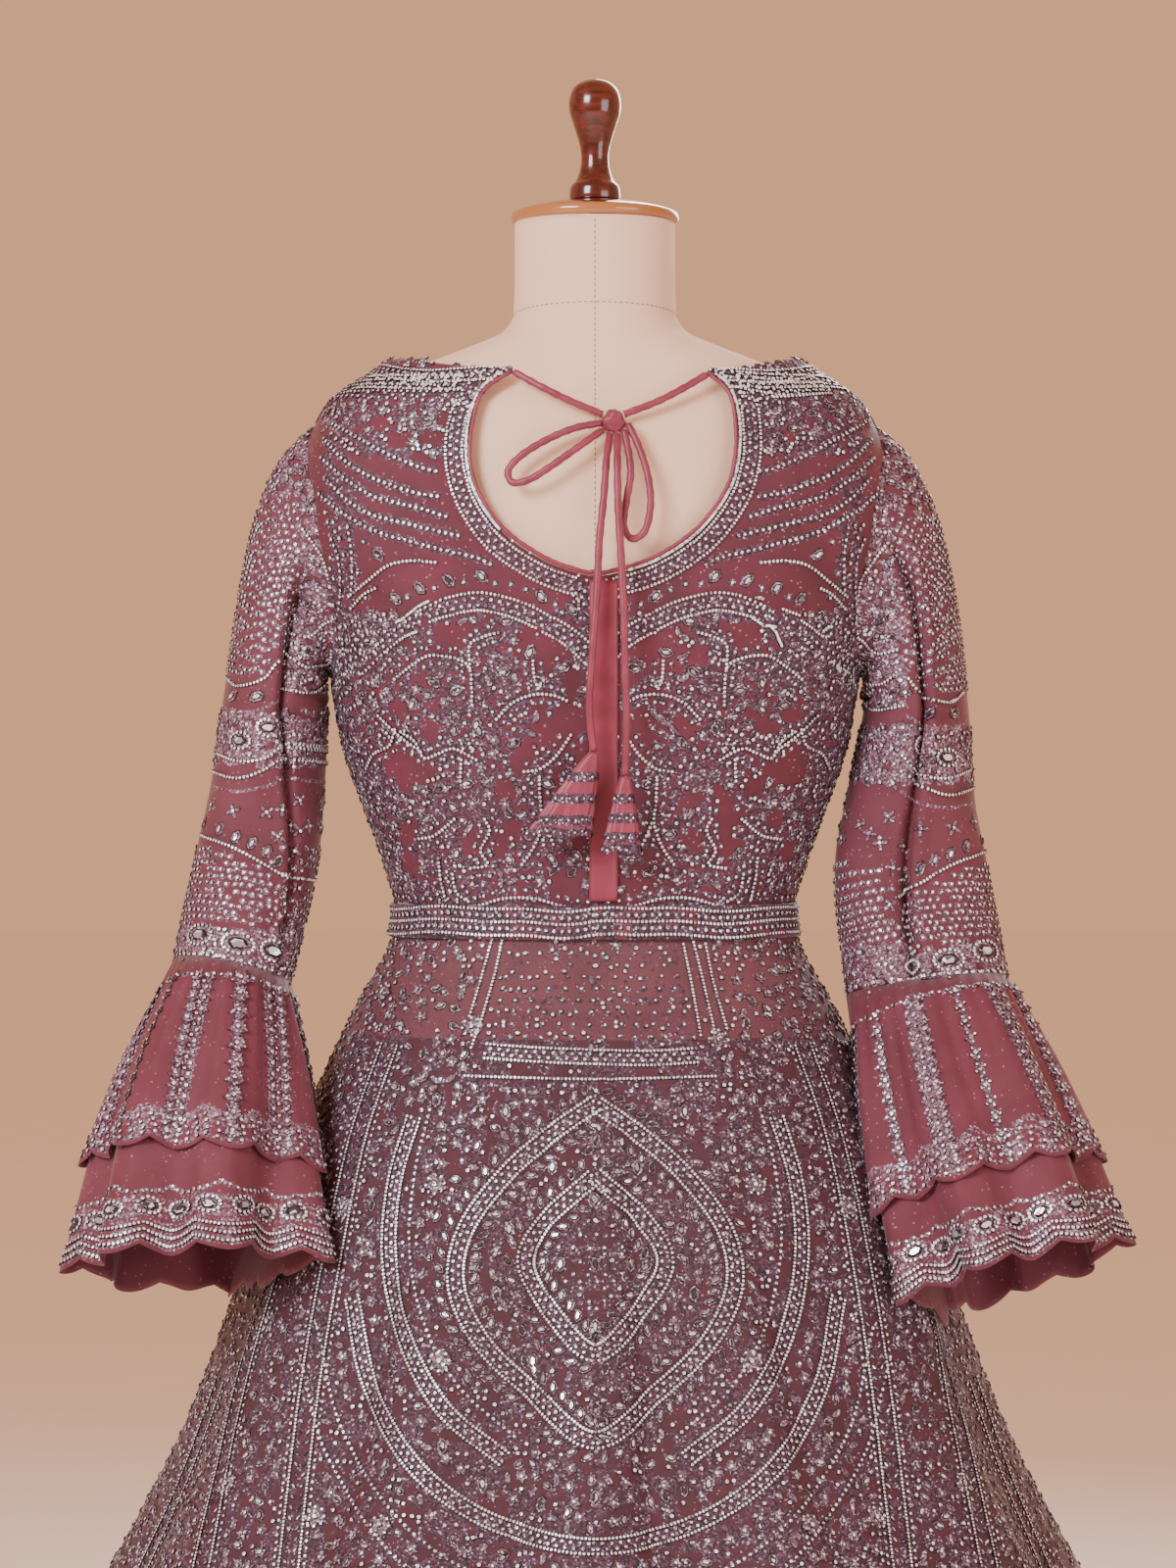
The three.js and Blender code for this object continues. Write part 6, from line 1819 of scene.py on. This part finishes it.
# ---- Waist band --------------------------------------------------------------------------------
# A stitched-on band of embroidered cloth over the waist seam, with three rows of bright beads and
# two rows of stones between them.
BAND_ROUND = 240
band_angles = full_turn(BAND_ROUND)[None, :]
band_z = np.linspace(1058, 1083, 11)[:, None]
band_lift = 3.4 + 0.5 * np.sin(3 * band_angles + 1) * np.ones_like(band_z)
band_points = body_point(band_angles + 0 * band_z, band_z + 0 * band_angles)
band_normals = body_normal(band_angles + 0 * band_z, band_z + 0 * band_angles)
band_points = band_points + band_normals * band_lift[..., None]
band_ground = worked_net("waist_band_cloth", (0.20, 0.036, 0.070), (0.14, 0.022, 0.042), 1.0, 0,
                         0.58)
band = cloth("waist_band_satin", band_points, grid_normal(band_points, True), [band_ground],
             "satin", ["waist_band"], ring=True, every=(2, 2))
work = Work(band_points, grid_normal(band_points, True), 51, ring=True)
around = np.linspace(0.5, BAND_ROUND - 0.5, 400)
sway = (0.5 * np.sin(around / BAND_ROUND * 2 * math.pi * 5)
        + 0.3 * np.sin(around / BAND_ROUND * 2 * math.pi * 11 + 1))
for row in (1.1, 5.1, 9.0):
    work.beads(np.stack([row + sway, around], axis=-1), 1.5)
for row in (3.1, 7.1):
    at = np.stack([row + sway, around], axis=-1)
    work.row(at, "disc", 3.6, 2.6, high=0.4)
    work.row(at, "stone", 5.6, 1.8, high=1.3, lift=0.2)
work.sew("embroidery_band", "satin")


# ---- Neck tie ----------------------------------------------------------------------------------
# A round rouleau of satin sewn to the two corners of the neck and tied in a bow over the keyhole.
# Its tails end in folded satin tassels bound with bands of sequined thread.
TIE = 5
TIE_ROUTES = {
    "left_strand": [(-57.4, -83.4, 1461.2), (-38, -91, 1450), (-18, -94, 1440), (5.3, -95, 1430.2)],
    "right_strand": [(79, -80.3, 1459.7), (62, -88.5, 1449), (43, -92.5, 1439),
                     (20.6, -95, 1430.2)],
    "left_loop": [(4.1, -98, 1423.8), (-14, -102, 1420), (-33, -104, 1412), (-51, -106, 1401),
                  (-61, -107, 1390),
                  (-58, -109, 1381), (-46, -111, 1383), (-30, -111, 1393), (-12, -108, 1406),
                  (5, -101, 1418.5)],
    "right_loop": [(23.3, -98.6, 1423), (31, -104, 1406), (37, -110, 1386), (39, -113, 1366),
                   (35, -115, 1347),
                   (26, -116, 1341), (20, -116, 1350), (22, -115, 1368), (25, -111, 1390),
                   (20.6, -101, 1418.2)],
    "left_tail": [(10.4, -98.3, 1416.4), (8, -111, 1397), (6, -119, 1370), (3, -123, 1340),
                  (1, -124, 1300),
                  (-2, -123, 1260), (-4, -120, 1222), (-1, -116, 1192)],
    "right_tail": [(15.8, -98.6, 1416.4), (15.5, -115, 1397), (16, -123, 1366), (18, -127, 1330),
                   (20, -128, 1290), (21, -126, 1250), (22, -122, 1212), (21, -117, 1175)],
}
TIE_ENDS = {
    "left_strand": ("tie_strand_left", "knot"), "right_strand": ("tie_strand_right", "knot"),
    "left_loop": ("tie_loop_left", "knot"), "right_loop": ("tie_loop_right", "knot"),
    "left_tail": ("tie_tail_left", "object"), "right_tail": ("tie_tail_right", "object"),
}


# A soft round cord, slightly flattened and ribbed by its seam.
def cord_mesh(name, route, replaced):
    centre = through(route, int(9 * len(route)))
    ahead = unit(np.gradient(centre, axis=0))
    side = unit(np.cross(ahead, (0, 1, 0)) + np.array((1e-6, 0, 0)))
    over = np.cross(side, ahead)
    count, sides = len(centre), 10
    turns = full_turn(sides)
    fold = (1 + 0.07 * np.sin(np.arange(count) * 1.3 + len(name))
            + 0.04 * np.sin(np.arange(count) * 2.9))
    round_it = (np.cos(turns)[None, :, None] * side[:, None] * 1.06
                + np.sin(turns)[None, :, None] * over[:, None] * 0.9)
    points = centre[:, None] + round_it * (TIE / 2 * fold)[:, None, None]
    caps = np.array([list(range(sides)), list(range((count - 1) * sides, count * sides))[::-1]])
    made = piece(name, points.reshape(-1, 3), [grid_faces(count, sides, True)[:, ::-1], caps],
                 [satin], "satin",
                 replaced)
    return made, centre


for name, route in TIE_ROUTES.items():
    replaced, far_end = TIE_ENDS[name]
    made, centre = cord_mesh(name, route, [replaced])

KNOT = {"x": 13, "y": -97, "z": 1425, "radius": 8.5}
down_rows, round_turns = np.meshgrid(np.linspace(0.02, math.pi - 0.02, 30),
                                     full_turn(40), indexing="ij")
wrap = (1 + 0.08 * np.cos(3 * down_rows + 2 * round_turns)
        + 0.05 * np.cos(7 * down_rows - round_turns))
knot_points = np.stack([
    KNOT["x"] + KNOT["radius"] * wrap * np.sin(down_rows) * np.cos(round_turns),
    KNOT["y"] + KNOT["radius"] * 0.56 * wrap * np.sin(down_rows) * np.sin(round_turns),
    KNOT["z"] + KNOT["radius"] * 0.95 * wrap * np.cos(down_rows)], axis=-1)
knot = piece("bow_knot", knot_points.reshape(-1, 3), grid_faces(30, 40, True)[:, ::-1], [satin],
             "satin", ["tie_knot"])

TASSELS = {
    "left": {"x": -1, "y": -116, "z": 1191.2, "length": 58, "width": 44, "lean": -26},
    "right": {"x": 21, "y": -117, "z": 1174.2, "length": 52, "width": 26, "lean": -3},
}
for side_name, tassel in TASSELS.items():
    t = np.linspace(0, 1, 46)[:, None]
    turns = full_turn(64)[None, :]
    pleats = 1 + 0.10 * t * np.cos(9 * turns)
    half = (3 + (tassel["width"] / 2 - 3) * t ** 0.8) * pleats
    thick = (3 + 3 * t) * pleats
    drop = tassel["length"] * t + 1.6 * t ** 8 * np.cos(5 * turns)
    points = np.stack([tassel["x"] + tassel["lean"] * t + half * np.cos(turns),
                       tassel["y"] + thick * np.sin(turns), tassel["z"] - drop], axis=-1)
    normals = grid_normal(points, True)
    made = cloth("tassel_" + side_name + "_satin", points, normals, [satin], "satin",
                 ["tie_tassel_" + side_name],
                 ring=True, thickness=0.7, every=(2, 1))
    work = Work(points, -normals, 61 + len(side_name), ring=True)
    for share in (0.30, 0.56, 0.82, 0.97):
        at = np.stack([np.full(65, share * 45.0), np.linspace(0, 64, 65)], axis=-1)
        for aside in (-2.2, 0, 2.2):
            work.row(at, "disc", 2.6, 1.7, high=0.4, aside=aside)
        work.row(at, "stone", 5.0, 1.2, high=0.9, lift=0.2)
    work.sew("tassel_" + side_name + "_bands")
